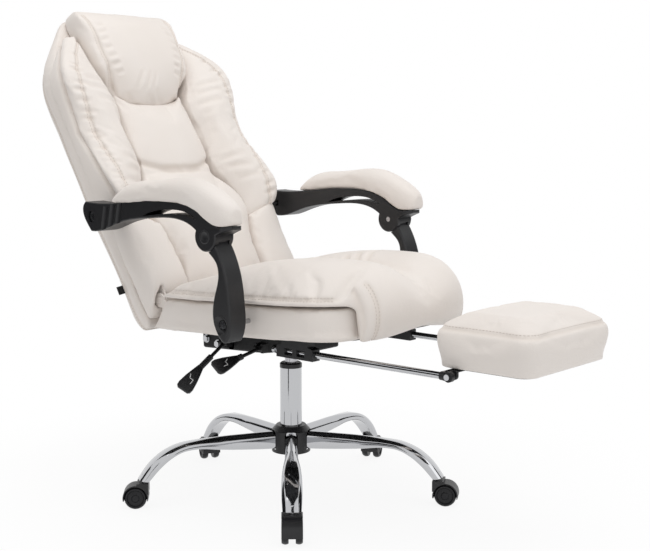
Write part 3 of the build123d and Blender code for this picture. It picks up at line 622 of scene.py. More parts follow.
def apply_all(obj: Object) -> None:
    """Make an object's modifiers permanent."""
    bpy.context.view_layer.update()
    shown = obj.evaluated_get(bpy.context.evaluated_depsgraph_get())
    mesh = bpy.data.meshes.new_from_object(shown)
    old = obj.data
    obj.modifiers.clear()
    obj.data = mesh
    mesh.name = old.name
    bpy.data.meshes.remove(old)


def read_points(obj: Object) -> np.ndarray:
    """Vertex places as an array."""
    out = np.empty(len(obj.data.vertices) * 3)
    obj.data.vertices.foreach_get("co", out)
    return out.reshape(-1, 3)


def read_normals(obj: Object) -> np.ndarray:
    """Vertex normals as an array."""
    out = np.empty(len(obj.data.vertices) * 3, np.float32)
    obj.data.vertex_normals.foreach_get("vector", out)
    return out.reshape(-1, 3).astype(float)


def write_points(obj: Object, points: np.ndarray) -> None:
    """Set vertex places."""
    obj.data.vertices.foreach_set("co", points.astype(np.float32).ravel())
    obj.data.update()


def smooth_points(obj: Object, points: np.ndarray, times: int) -> np.ndarray:
    """Average each point with its neighbours.

    Args:
        obj: mesh object.
        points: places to smooth.
        times: number of passes.

    Returns:
        Smoothed places.
    """
    edges = np.empty(len(obj.data.edges) * 2, np.int64)
    obj.data.edges.foreach_get("vertices", edges)
    edges = edges.reshape(-1, 2)
    count = np.bincount(edges.ravel(), minlength=len(points)).astype(float)[:, None]
    for _ in range(times):
        total = np.zeros_like(points)
        np.add.at(total, edges[:, 0], points[edges[:, 1]])
        np.add.at(total, edges[:, 1], points[edges[:, 0]])
        points = points * 0.5 + total / np.maximum(count, 1) * 0.5
    return points


def area_of(obj: Object) -> float:
    """Surface area of a mesh object."""
    return sum(p.area for p in obj.data.polygons)


def volume_of(obj: Object) -> float:
    """Volume of a closed mesh object."""
    work = bmesh.new()
    work.from_mesh(obj.data)
    size = work.calc_volume(signed=True)
    work.free()
    return size


def shade_smooth(obj: Object) -> None:
    """Smooth shading on every face."""
    obj.data.polygons.foreach_set("use_smooth", [True] * len(obj.data.polygons))
    obj.data.update()


def new_object(name: str, work: BMesh) -> Object:
    """Put a mesh under work into the scene.

    Args:
        name: name of the object and its mesh.
        work: the mesh, which is freed.

    Returns:
        The new object.
    """
    mesh = bpy.data.meshes.new(name)
    work.to_mesh(mesh)
    work.free()
    obj = bpy.data.objects.new(name, mesh)
    bpy.context.scene.collection.objects.link(obj)
    return obj


def skin(out: BMesh, loops: Sequence[Sequence[BMVert]]) -> None:
    """Close a row of equal loops with side faces and two ends.

    Args:
        out: mesh that holds the points.
        loops: points of each loop, from the first end to the last.
    """
    count = len(loops[0])
    for low, high in zip(loops, loops[1:]):
        for k in range(count):
            out.faces.new((low[k], low[(k + 1) % count], high[(k + 1) % count], high[k]))
    out.faces.new(list(reversed(loops[0])))
    out.faces.new(loops[-1])


def turned(out: BMesh, path: Sequence[Point], cent: Point, axis: Point, steps: int,
           closed: bool = False) -> None:
    """Spin a line of points once round an axis.

    Args:
        out: mesh to add it to.
        path: the line.
        cent: point of the axis.
        axis: direction of the axis.
        steps: steps of the turn.
        closed: True where the line returns to its start.
    """
    verts = [out.verts.new(p) for p in path]
    line = verts + verts[:1] if closed else verts
    edges = [out.edges.new(pair) for pair in zip(line, line[1:])]
    bmesh.ops.spin(out, geom=verts + edges, cent=cent, axis=axis, angle=math.tau, steps=steps,
                   use_merge=True)


@dataclass(frozen=True)
class Rigid:
    """Hard CAD nodes that are shown as they are.

    Args:
        wrapped: boards and hinge plates that are covered with cloth, and the finish of that cloth.
    """

    wrapped: Tuple[Tuple[str, Slot], ...] = (
        ("back_board", Slot.LEATHER), ("seat_board", Slot.TAPE), ("back_side_arms", Slot.LEATHER),
        ("seat_side_plates", Slot.LEATHER), ("footrest_board", Slot.TAPE))

    def dress(self) -> None:
        """Give every shown CAD node the finish of its record slot or of its wrapping."""
        cloth = dict(self.wrapped)
        for entry in frame["record"]["subparts"]:
            node = frame["nodes"][entry["node"]]
            slot = cloth.get(entry["node"], Slot(entry["material_slot"]))
            node.data.materials.clear()
            node.data.materials.append(FINISHES[slot].build())
            LOG.info("node %s: %s", entry["node"], slot.value)


@dataclass
class StarBase:
    """Chrome five-star base, its legs tall up to the hub, and the hub cover's rim below them.

    Args:
        count: number of legs.
        first: direction of the front leg in degrees.
        rows: distance, height, slope in degrees, width and height of a leg's sections.
        corner: corner size of a section as a share of its smaller side, below and above.
        roof: how flat the upper corners slant, 1 for round and more for a roof shape.
        arc: points drawn on each corner.
        rings: sections drawn along a leg.
        steps: steps of the round pieces.
        hub: inner and outer radius, lower and upper end of the sleeve that holds the column.
        rim: inner and outer radius, lower and upper end of the cover's rim.
    """

    count: int = 5
    first: float = 222.7
    rows: Tuple[Tuple[float, float, float, float, float], ...] = (
        (0.027, 0.127, 1, 0.027, 0.0405), (0.06, 0.1277, 1, 0.027, 0.0395),
        (0.11, 0.129, 1, 0.027, 0.036), (0.168, 0.131, 1, 0.028, 0.03),
        (0.224, 0.1325, -2, 0.032, 0.019), (0.262, 0.128, -14, 0.038, 0.017),
        (0.294, 0.114, -34, 0.043, 0.019), (0.322, 0.092, -55, 0.044, 0.021),
        (0.347, 0.062, -80, 0.04, 0.021))
    corner: Tuple[float, float] = (0.3, 0.43)
    roof: float = 1.5
    arc: int = 7
    rings: int = 40
    steps: int = 64
    hub: Tube = (0.02505, 0.038, 0.104, 0.15)
    rim: Tube = (0.0415, 0.0445, 0.099, 0.1055)

    def build(self) -> None:
        """Make the star and the rim."""
        star = bmesh.new()
        for k in range(self.count):
            turn = Matrix.Rotation(math.radians(self.first + 360 * k / self.count), 4, "Z")
            self._leg(star, turn)
        self._sleeve(star, self.hub)
        piece = finish_piece("star_base", star, FINISHES[Slot.CHROME], "base", Slot.CHROME)
        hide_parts("base_star")
        ring = bmesh.new()
        self._sleeve(ring, self.rim)
        finish_piece("hub_rim", ring, FINISHES[Slot.PLASTIC], "base", Slot.PLASTIC)

    def _stations(self) -> np.ndarray:
        """Smoothly changing sections along a leg.

        Returns:
            One row of section values per ring.
        """
        rows = np.array(self.rows)
        t = np.concatenate([[0], np.cumsum(np.linalg.norm(np.diff(rows[:, :2], axis=0), axis=1))])
        lean = np.gradient(rows, t, axis=0)
        at = np.linspace(0, t[-1], self.rings)
        k = np.clip(np.searchsorted(t, at, side="right") - 1, 0, len(t) - 2)
        gap = (t[k + 1] - t[k])[:, None]
        f = ((at - t[k]) / (t[k + 1] - t[k]))[:, None]
        first = (1 + 2 * f) * (1 - f) ** 2 * rows[k] + f * (1 - f) ** 2 * gap * lean[k]
        second = f * f * (3 - 2 * f) * rows[k + 1] + f * f * (f - 1) * gap * lean[k + 1]
        return first + second

    def _leg(self, out: BMesh, turn: Matrix) -> None:
        """Add one leg.

        Args:
            out: mesh to add it to.
            turn: direction of the leg.
        """
        loops = []
        part = 90 / (self.arc - 1)
        for r, z, slope, wide, tall in self._stations():
            lean = math.radians(slope)
            loop = []
            for side, rise in ((1, 1), (-1, 1), (-1, -1), (1, -1)):
                soft = min(wide, tall) * self.corner[1 if rise > 0 else 0]
                bend = self.roof if rise > 0 else 1.0
                for j in range(self.arc):
                    a = math.radians(part * j if side * rise > 0 else 90 - part * j)
                    y = side * (wide / 2 - soft + soft * math.cos(a) ** bend)
                    h = rise * (tall / 2 - soft + soft * math.sin(a) ** bend)
                    at = Vector((r - h * math.sin(lean), y, z + h * math.cos(lean)))
                    loop.append(out.verts.new(turn @ at))
            loops.append(loop)
        skin(out, loops)

    def _sleeve(self, out: BMesh, size: Tube) -> None:
        """Add a short tube round the column.

        Args:
            out: mesh to add it to.
            size: inner and outer radius, lower and upper end.
        """
        inner, outer, low, high = size
        path = [(inner, 0, low), (outer, 0, low), (outer, 0, high), (inner, 0, high)]
        turned(out, path, (0, 0, 0), (0, 0, 1), self.steps, closed=True)


@dataclass
class LeverPaddle:
    """Lever grip: a ribbed neck on the rod and a flat rounded blade that faces outwards.

    Args:
        node: CAD node it stands for.
        body: body it rides on.
        pin: hinge pin of the lever, where the rod starts.
        neck: where the blade meets the neck.
        tip: end of the blade.
        face: direction that the blade's face looks.
        ribs: number of ribs on the neck.
        rib: distance behind the rib's start and radius, along one rib.
        pitch: distance between ribs.
        outline: distance along the blade and half-width of its edge.
        thick: half-thickness of the blade.
        edge: rounding of the blade's edge.
        mark: drawn line of the plain chair sign, as distance along and across the blade.
        line: half-width of that line.
        skim: depth of the line in the blade and its height above.
    """

    node: str
    body: str
    pin: Point
    neck: Point
    tip: Point
    face: Point
    ribs: int = 8
    rib: Pairs = ((0.0, 0.0058), (0.001, 0.007), (0.0032, 0.007), (0.0042, 0.0058))
    pitch: float = 0.005
    outline: Pairs = ((-0.004, 0.0065), (0.012, 0.0105), (0.034, 0.0155), (0.055, 0.0185),
                      (0.064, 0.0175), (0.0685, 0.0125))
    thick: float = 0.0042
    edge: float = 0.0024
    mark: Pairs = ((0.027, -0.007), (0.036, -0.003), (0.036, 0.0055), (0.047, 0.0055))
    line: float = 0.0008
    skim: Tuple[float, float] = (0.0002, 0.0001)

    def build(self) -> None:
        """Make the grip and its sign."""
        place = self._place(self.neck, self.tip)
        grip = bmesh.new()
        self._neck(grip)
        bmesh.ops.transform(grip, matrix=self._place(self.pin, self.neck), verts=grip.verts)
        blade = bmesh.new()
        self._blade(blade)
        bmesh.ops.transform(blade, matrix=place, verts=blade.verts)
        joined = bpy.data.meshes.new(self.node + "_blade")
        blade.to_mesh(joined)
        blade.free()
        grip.from_mesh(joined)
        bpy.data.meshes.remove(joined)
        black = FINISHES[Slot.PLASTIC]
        piece = finish_piece(self.node + "_grip", grip, black, self.body, Slot.PLASTIC)
        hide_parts(self.node)
        sign = bmesh.new()
        self._sign(sign)
        bmesh.ops.transform(sign, matrix=place, verts=sign.verts)
        finish_piece(self.node + "_sign", sign, MARK, self.body, Slot.PLASTIC)

    def _place(self, start: Point, end: Point) -> Matrix:
        """Frame at the neck, its X from one point to another and its Z along the face.

        Args:
            start: first point.
            end: second point.

        Returns:
            Its matrix.
        """
        way = (Vector(end) - Vector(start)).normalized()
        across = Vector(self.face).cross(way).normalized()
        place = Matrix((way, across, way.cross(across))).transposed().to_4x4()
        place.translation = Vector(self.neck)
        return place

    def _blade(self, out: BMesh) -> None:
        """Add the blade with rounded edges."""
        edge = list(self.outline) + [(x, -y) for x, y in reversed(self.outline)]
        skin(out, [[out.verts.new((x, y, z)) for x, y in edge] for z in (-self.thick, self.thick)])
        bmesh.ops.recalc_face_normals(out, faces=out.faces)
        rims = [e for e in out.edges if abs(e.verts[0].co.z - e.verts[1].co.z) < MERGE]
        bmesh.ops.bevel(out, geom=rims, offset=self.edge, segments=3, profile=0.5, affect="EDGES",
                        material=-1)

    def _neck(self, out: BMesh) -> None:
        """Add the ribbed neck behind the blade."""
        path = [(0.002, 0.0), (0.002, 0.0062)]
        for k in range(self.ribs):
            start = -0.001 - self.pitch * k
            path += [(start - back, r) for back, r in self.rib]
        path.append((path[-1][0] - 0.001, 0.0))
        turned(out, [(x, r, 0) for x, r in path], (0, 0, 0), (1, 0, 0), 20)

    def _sign(self, out: BMesh) -> None:
        """Add the drawn line of the sign just above the blade's face."""
        levels = (self.thick - self.skim[0], self.thick + self.skim[1])
        for (x0, y0), (x1, y1) in zip(self.mark, self.mark[1:]):
            run = Vector((x1 - x0, y1 - y0, 0)).normalized() * self.line
            side = Vector((-run.y, run.x, 0))
            ends = (Vector((x0, y0, 0)) - run, Vector((x1, y1, 0)) + run)
            corners = [ends[0] - side, ends[1] - side, ends[1] + side, ends[0] + side]
            skin(out, [[out.verts.new((c.x, c.y, z)) for c in corners] for z in levels])


@dataclass
class HingeCap:
    """Dished cap on the outer side of an armrest's hinge disc.

    Args:
        sign: 1 for the sitter's left arm, -1 for the right.
        body: body it rides on.
        centre: place of the hinge axis along Y and Z.
        profile: distance from the chair's middle and radius of the cap's outline.
        steps: steps of the turn.
    """

    sign: int
    body: str
    centre: Tuple[float, float] = (-0.065, 0.622)
    profile: Pairs = ((0.3292, 0.0), (0.3292, 0.0148), (0.3304, 0.0145), (0.3312, 0.0132),
                      (0.3312, 0.0108), (0.3304, 0.0094), (0.3302, 0.0))
    steps: int = 36

    def build(self) -> None:
        """Make the cap."""
        work = bmesh.new()
        y, z = self.centre
        path = [(self.sign * x, y, z + r) for x, r in self.profile]
        turned(work, path, (0, y, z), (1, 0, 0), self.steps)
        black = FINISHES[Slot.PLASTIC]
        finish_piece(self.body + "_hinge_cap", work, black, self.body, Slot.PLASTIC)


@dataclass
class SeamTab:
    """Plain folded tab in the seam between the back's side and its rear panel.

    Args:
        at: middle of the tab in the backrest frame.
        out: direction it stands out in.
        size: length along the seam, reach and thickness.
    """

    at: Point = (-0.238, 0.0325, 0.1)
    out: Point = (-0.85, 0.53, 0.0)
    size: Point = (0.02, 0.02, 0.0014)

    def build(self) -> None:
        """Make the tab."""
        reach = Vector(self.out).normalized()
        rise = Vector((0, 0, 1))
        place = Matrix((rise, reach, rise.cross(reach))).transposed().to_4x4()
        place.translation = Vector(self.at)
        work = bmesh.new()
        bmesh.ops.create_cube(work, size=1.0)
        bmesh.ops.scale(work, vec=self.size, verts=work.verts)
        bmesh.ops.bevel(work, geom=work.edges, offset=0.0004, segments=2, profile=0.5,
                        affect="EDGES", material=-1)
        bmesh.ops.transform(work, matrix=BACK.matrix() @ place, verts=work.verts)
        piece = finish_piece("side_tab", work, FINISHES[Slot.TAPE], "back", Slot.TAPE)
        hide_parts("seam_tab")


def finish_piece(name: str, work: BMesh, finish: Finish, body: str,
                 slot: Slot) -> Object:
    """Turn a mesh under work into a finished hard piece.

    Args:
        name: object name.
        work: the mesh.
        finish: its surface.
        body: body it rides on.
        slot: its material slot; not used.

    Returns:
        The new object.
    """
    bmesh.ops.remove_doubles(work, verts=work.verts, dist=MERGE)
    bmesh.ops.recalc_face_normals(work, faces=work.faces)
    for edge in work.edges:
        edge.smooth = edge.calc_face_angle(0.0) < SHARP
    piece = new_object(name, work)
    shade_smooth(piece)
    piece.data.materials.append(finish.build())
    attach(piece, body)
    LOG.info("piece %s: %d faces", name, len(piece.data.polygons))
    return piece


def always(points: np.ndarray) -> np.ndarray:
    """Mask that keeps every point."""
    return np.ones(len(points))


def along(s: np.ndarray, rows: Sequence[Tuple[float, float]]) -> np.ndarray:
    """Value that changes evenly between given stations.

    Args:
        s: place along the piece.
        rows: station and value pairs, stations rising.

    Returns:
        The value at each place.
    """
    return np.interp(s, [r[0] for r in rows], [r[1] for r in rows])


def step(x: np.ndarray, low: float, high: float) -> np.ndarray:
    """Soft step from 0 at low to 1 at high."""
    k = np.clip((x - low) / (high - low), 0, 1)
    return k * k * (3 - 2 * k)


@dataclass(frozen=True)
class Lift:
    """Raises one end of a cover in its frame, more towards the outside.

    Args:
        low: height where the change starts.
        high: height where it ends.
        gain: rise at the outside.
        base: rise in the middle.
        foot: True where the lower end is raised, not the upper one.
        inner: half-width where the rise starts to grow.
        span: half-width over which it grows.
        most: largest share of the gain's width that counts.
        power: 1 for a straight end, 2 for a curved one.
    """

    low: float
    high: float
    gain: float
    base: float = 0.0
    foot: bool = False
    inner: float = 0.165
    span: float = 0.087
    most: float = 1.0
    power: int = 1

    def __call__(self, local: np.ndarray) -> np.ndarray:
        """The changed points."""
        out = local.copy()
        share = step(local[:, 2], self.low, self.high)
        if self.foot:
            share = 1 - share
        wide = np.clip((np.abs(local[:, 0]) - self.inner) / self.span, 0, self.most)
        out[:, 2] += share * (self.base + self.gain * wide**self.power)
        return out


@dataclass
class SeatGoods:
    """Seat box and the pillow that rolls over its front.

    Args:
        box_top: height of the box in the seat frame.
        border: height of the pillow's stitched border above the box.
        side: half-width beyond which the border shows.
        front: where the front roll starts.
        corner: half-width of the upright corner seams.
        band: distance of the stitched line beside each corner seam.
    """

    box_top: float = 0.072
    border: float = 0.017
    side: float = 0.19
    front: float = 0.332
    corner: float = 0.172
    band: float = 0.024

    def pieces(self) -> List[Cushion]:
        """Cushions of the seat."""
        box = Cushion("seat_box_cover", ("seat_base",), "seat", SEAT, voxel=0.007, shrink=0.002,
                      cap=0.005, fill=0.85, pins=lambda p: p[:, 2] < 0.013)
        pillow = Cushion("seat_pillow_cover", ("seat_pillow", "seat_front_roll"), "seat", SEAT,
                         cap=0.013, spread=0.0012, slack=0.01, seams=self._seams(),
                         creases=self._creases(), pins=self._held)
        return [box, pillow]

    def _held(self, p: np.ndarray) -> np.ndarray:
        """Points that stay put: the underside, and the channel sewn down between the lobes."""
        x, y, z = p.T
        under = (z < self.box_top + 0.005) & (y > -self.front + 0.004)
        channel = (np.abs(x) < 0.012) & (z > 0.1) & (y < 0.0) & (y > -0.29)
        return under | channel

    def _seams(self) -> List[Seam]:
        """Border, corner and band seams, and the channel, whose wide valley carries painted shade
        onto the lobes' flanks.
        """
        border = Seam(
            lambda p: p[:, 2] - self.box_top - self.border,
            lambda p: step(np.abs(p[:, 0]), self.side, self.side + 0.02) * (p[:, 1] > -self.front),
            0.003, 0.005, (0.0035, -0.0035))
        corner = Seam(
            lambda p: np.abs(p[:, 0]) - self.corner,
            lambda p: (p[:, 1] < -self.front + 0.002) * 1.0, 0.004, 0.005)
        band = Seam(
            lambda p: np.abs(p[:, 0]) - self.corner + self.band,
            lambda p: (p[:, 1] < -self.front - 0.01) * step(-p[:, 2], -0.128, -0.112),
            0.0018, 0.005, (0.003, -0.003))
        # channel: a real sewn-down valley, made wide so that its painted shade darkens the lobes'
        # flanks on both sides of it
        channel = Seam(
            lambda p: p[:, 0],
            lambda p: step(-p[:, 1], 0.0, 0.06) * step(p[:, 1], -0.27, -0.2) * (p[:, 2] > 0.1),
            0.011, 0.03)
        return [border, corner, band, channel]

    def _creases(self) -> List[Crease]:
        """Tucks beside the channel and pulls along the border."""
        out = []
        tucks = ((0.013, 0.151, 0.075, 0.119), (0.018, 0.184, 0.095, 0.141),
                 (0.045, 0.2, 0.117, 0.167), (0.012, 0.1, 0.06, 0.06))
        for x0, u0, x1, u1 in tucks:
            for side in (-1, 1):
                out.append(Crease((side * x0, -u0, 0.129), (side * x1, -u1, 0.147), 0.005, 0.008))
        low = 0.093
        for k in range(14):
            u = -0.13 + 0.03 * k + 0.008 * math.sin(5.1 * k)
            rise = 0.018 + 0.009 * math.sin(2.3 * k)
            for side in (-1, 1):
                out.append(Crease((side * 0.25, -u, low), (side * 0.24, -u - 0.01, low + rise),
                                  0.0016, 0.0045))
        return out


@dataclass
class BackGoods:
    """Shell, pads, headrest, wings and bolsters of the back.

    Args:
        edge: stations and half-widths of the stitched line on the wings.
        lip: how far a wing's side seam lies behind its front edge.
        front: stations and depths of the wings' outer front edge.
        half: stations and half-widths of the shell.
        band: stations and distances by which the shell's sides reach forward.
        head: stations and half-widths of the headrest.
        rear: depth of the plane that the pads lie on.
    """

    edge: Pairs = ((0.212, 0.224), (0.3, 0.231), (0.4, 0.236), (0.567, 0.237), (0.616, 0.231),
                   (0.665, 0.206), (0.711, 0.167), (0.735, 0.15))
    lip: float = 0.024
    front: Pairs = ((0.212, 0.084), (0.25, 0.102), (0.3, 0.104), (0.362, 0.092), (0.47, 0.07),
                    (0.545, 0.078), (0.6, 0.086), (0.665, 0.078), (0.7, 0.063), (0.735, 0.044))
    half: Pairs = ((0.022, 0.238), (0.06, 0.241), (0.2, 0.248), (0.33, 0.256), (0.47, 0.259),
                   (0.6, 0.263), (0.665, 0.246), (0.735, 0.196), (0.775, 0.166))
    band: Pairs = ((0.08, 0.0), (0.11, 0.008), (0.17, 0.026), (0.22, 0.034), (0.25, 0.05),
                   (0.3, 0.057), (0.362, 0.046), (0.47, 0.024), (0.545, 0.032), (0.6, 0.04),
                   (0.665, 0.032), (0.7, 0.017), (0.735, 0.0))
    head: Pairs = ((0.545, 0.108), (0.6, 0.127), (0.665, 0.144), (0.735, 0.146), (0.78, 0.148),
                   (0.806, 0.134))
    rear: float = -0.019

    def pieces(self) -> List[Cushion]:
        """Cushions of the back, each with the ends that reach behind its neighbours."""
        head_foot = Lift(0.545, 0.64, 0.03, foot=True, inner=0.0, span=0.115, most=1.1, power=2)
        pad_top = Lift(0.45, 0.54, 0.034, base=0.006, inner=0.0, span=0.115, power=2)
        bolster_top = Lift(0.12, 0.207, 0.034, base=0.012)
        wing_foot = Lift(0.212, 0.33, 0.03, foot=True, most=1.1)
        shell = Cushion("back_shell_cover", ("back_shell",), "back", BACK, voxel=0.008,
                        shrink=0.002, cap=0.006, fill=0.85, seams=[self._shell_seam()],
                        pins=lambda p: (p[:, 1] > -0.016) & (p[:, 1] < 0.004),
                        shape=self._shell_lip)
        middle = Cushion("back_pad_cover", ("lumbar_pad", "center_pad"), "back", BACK,
                         shrink=0.002, cap=0.022, spread=0.0025, pins=self._flat,
                         seams=[self._smile_seam()], shape=pad_top)
        head = Cushion("headrest_cover", ("headrest",), "back", BACK, voxel=0.005, shrink=0.002,
                       cap=0.022, fill=0.75, spread=0.002, pins=self._flat,
                       seams=[self._head_seam()], creases=self._head_folds(), shape=head_foot)
        bolster = Cushion("bolster_cover", ("lower_bolsters",), "back", BACK, shrink=0.002,
                          cap=0.016, fill=0.75, pins=self._flat, shape=bolster_top)
        out = [shell, middle, head, bolster]
        for side, sign in (("left", 1), ("right", -1)):
            out.append(Cushion("wing_cover_" + side, ("wing_" + side,), "back", BACK, voxel=0.005,
                               shrink=0.002, cap=0.022, slack=0.008, spread=0.0015,
                               pins=self._wing_held, seams=self._wing_seams(),
                               creases=self._wing_folds(sign), shape=wing_foot))
        return out

    def _flat(self, p: np.ndarray) -> np.ndarray:
        """Points on the plane that the pads lie on."""
        return p[:, 1] > self.rear

    def _smile_seam(self) -> Seam:
        """Curved seam between the upper and the lower pad, lowest in the middle."""
        return Seam(lambda p: p[:, 2] - 0.354 - 0.03 * np.clip(p[:, 0] / 0.11, -1.2, 1.2) ** 2,
                    lambda p: step(-p[:, 1], 0.02, 0.04), 0.007, 0.009)

    def _shell_lip(self, local: np.ndarray) -> np.ndarray:
        """Bring the shell's sides forward to the wings' rolled edges, as one broad side band."""
        out = local.copy()
        x, y, s = local.T
        half, reach = along(s, self.half), along(s, self.band)
        rim = step(np.abs(x), half - 0.034, half - 0.02)
        front = step(-y, 0.004, 0.016)
        out[:, 1] -= rim * front * reach
        out[:, 0] += np.sign(x) * 0.0025 * rim * front * step(reach, 0.0, 0.01)
        return out

    def _wing_held(self, p: np.ndarray) -> np.ndarray:
        """Points of a wing that stay put: its rear and its side behind the rolled edge."""
        beyond = np.abs(p[:, 0]) - along(p[:, 2], self.edge) > 0.012
        return self._flat(p) | (beyond & (-p[:, 1] < along(p[:, 2], self.front) - self.lip))

    def _shell_seam(self) -> Seam:
        """Seam round the shell's rear panel."""
        return Seam(lambda p: p[:, 1] - 0.022, lambda p: (np.abs(p[:, 0]) > 0.12) * 1.0,
                    0.0025, 0.005, (0.004,))

    def _head_seam(self) -> Seam:
        """Seam between the headrest's face and its sides."""
        return Seam(lambda p: np.abs(p[:, 0]) - along(p[:, 2], self.head) + 0.016,
                    lambda p: step(-p[:, 1], 0.035, 0.045) * (p[:, 2] < 0.785),
                    0.003, 0.005, (0.0035, -0.0035))

    def _head_folds(self) -> List[Crease]:
        """Light pulls above the headrest's lower edge and beside its seams."""
        out = [Crease((-0.023, -0.08, 0.624), (-0.05, -0.07, 0.573), 0.0016, 0.006),
               Crease((0.003, -0.08, 0.622), (-0.02, -0.07, 0.573), 0.0018, 0.006),
               Crease((0.018, -0.08, 0.62), (0.0, -0.07, 0.579), 0.0014, 0.006)]
        for k in range(7):
            s = 0.612 + 0.022 * k
            for side in (-1, 1):
                w = side * (0.124 - 0.004 * abs(k - 4))
                end = (w - side * 0.026, -0.088, s + 0.006)
                out.append(Crease((w, -0.083, s), end, 0.0018, 0.005))
        return out

    def _wing_seams(self) -> List[Seam]:
        """Stitched line on a wing's face and the seam under its rolled edge."""
        face = Seam(
            lambda p: np.abs(p[:, 0]) - along(p[:, 2], self.edge),
            lambda p: step(-p[:, 1] - along(p[:, 2], self.front), -0.03, -0.02) * (p[:, 2] > 0.225),
            0.004, 0.005, (0.004, -0.004))
        side = Seam(
            lambda p: -p[:, 1] - along(p[:, 2], self.front) + self.lip,
            lambda p: step(np.abs(p[:, 0]) - along(p[:, 2], self.edge), 0.008, 0.016),
            0.011, 0.006)
        return [face, side]

    def _wing_folds(self, sign: int) -> List[Crease]:
        """Wrinkles of one wing: short ones across its stitched line, then long ones on its face.

        Args:
            sign: 1 for the sitter's left wing, -1 for the right.

        Returns:
            Its folds.
        """
        out = []
        for k in range(17):
            s = 0.27 + 0.0245 * k + 0.006 * math.sin(3.7 * k)
            w = float(along(s, self.edge))
            n = float(along(s, self.front))
            reach = 0.016 + 0.008 * math.sin(2.1 * k + sign)
            out.append(Crease((sign * (w + 0.02), -n + 0.004, s),
                              (sign * (w - reach), -n - 0.006, s - 0.01), 0.0026, 0.006))
        long = ((0.144, 0.585, 0.219, 0.594), (0.141, 0.565, 0.221, 0.57),
                (0.134, 0.535, 0.2, 0.54), (0.15, 0.508, 0.228, 0.52), (0.125, 0.374, 0.2, 0.382),
                (0.13, 0.352, 0.21, 0.346), (0.15, 0.312, 0.222, 0.32), (0.156, 0.45, 0.23, 0.446),
                (0.16, 0.47, 0.222, 0.54))
        for k, (w0, s0, w1, s1) in enumerate(long):
            n = float(along(s0, self.front))
            out.append(Crease((sign * w0, -n + 0.014, s0), (sign * w1, -n - 0.004, s1),
                              0.0032 - 0.0002 * k, 0.0075))
        return out


@dataclass
class ArmGoods:
    """Padded armrest tops.

    Args:
        voxel: remesh size of a pad.
        cap: furthest a point of it may move in the simulation.
    """

    voxel: float = 0.004
    cap: float = 0.004

    def pieces(self) -> List[Cushion]:
        """Both armrest pads."""
        return [Cushion("arm_pad_cover_" + side, ("arm_pad_" + side,), "arm_" + side, WORLD,
                        voxel=self.voxel, shrink=0.001, cap=self.cap, fill=0.85)
                for side in ("left", "right")]


@dataclass
class FootGoods:
    """Footrest pad.

    Args:
        low: height of the pad's underside.
        seam: height of the seam round its top edge.
    """

    low: float = 0.384
    seam: float = 0.462

    def pieces(self) -> List[Cushion]:
        """The footrest pad."""
        top = Seam(lambda p: p[:, 2] - self.seam, always, 0.0022, 0.0045, (0.0045,))
        return [Cushion("footrest_cover", ("footrest_cushion",), "footrest_pad", WORLD,
                        voxel=0.005, shrink=0.001, cap=0.004, fill=0.85, seams=[top],
                        pins=lambda p: p[:, 2] < self.low + 0.006)]


@dataclass
class Upholstery:
    """Every padded piece of the chair.

    Args:
        steps: time steps of the shared simulation.
    """

    steps: int = 20

    def make(self) -> None:
        """Remesh, swell together and finish each piece."""
        scene = bpy.context.scene
        pieces: List[Cushion] = []
        for goods in (SeatGoods(), BackGoods(), ArmGoods(), FootGoods()):
            pieces += goods.pieces()
        for piece in pieces:
            piece.begin()
        for piece in pieces:
            piece.simulate()
        scene.frame_start, scene.frame_end = 1, self.steps
        for number in range(1, self.steps + 1):
            scene.frame_set(number)
        for piece in pieces:
            piece.settle()
        scene.frame_set(1)


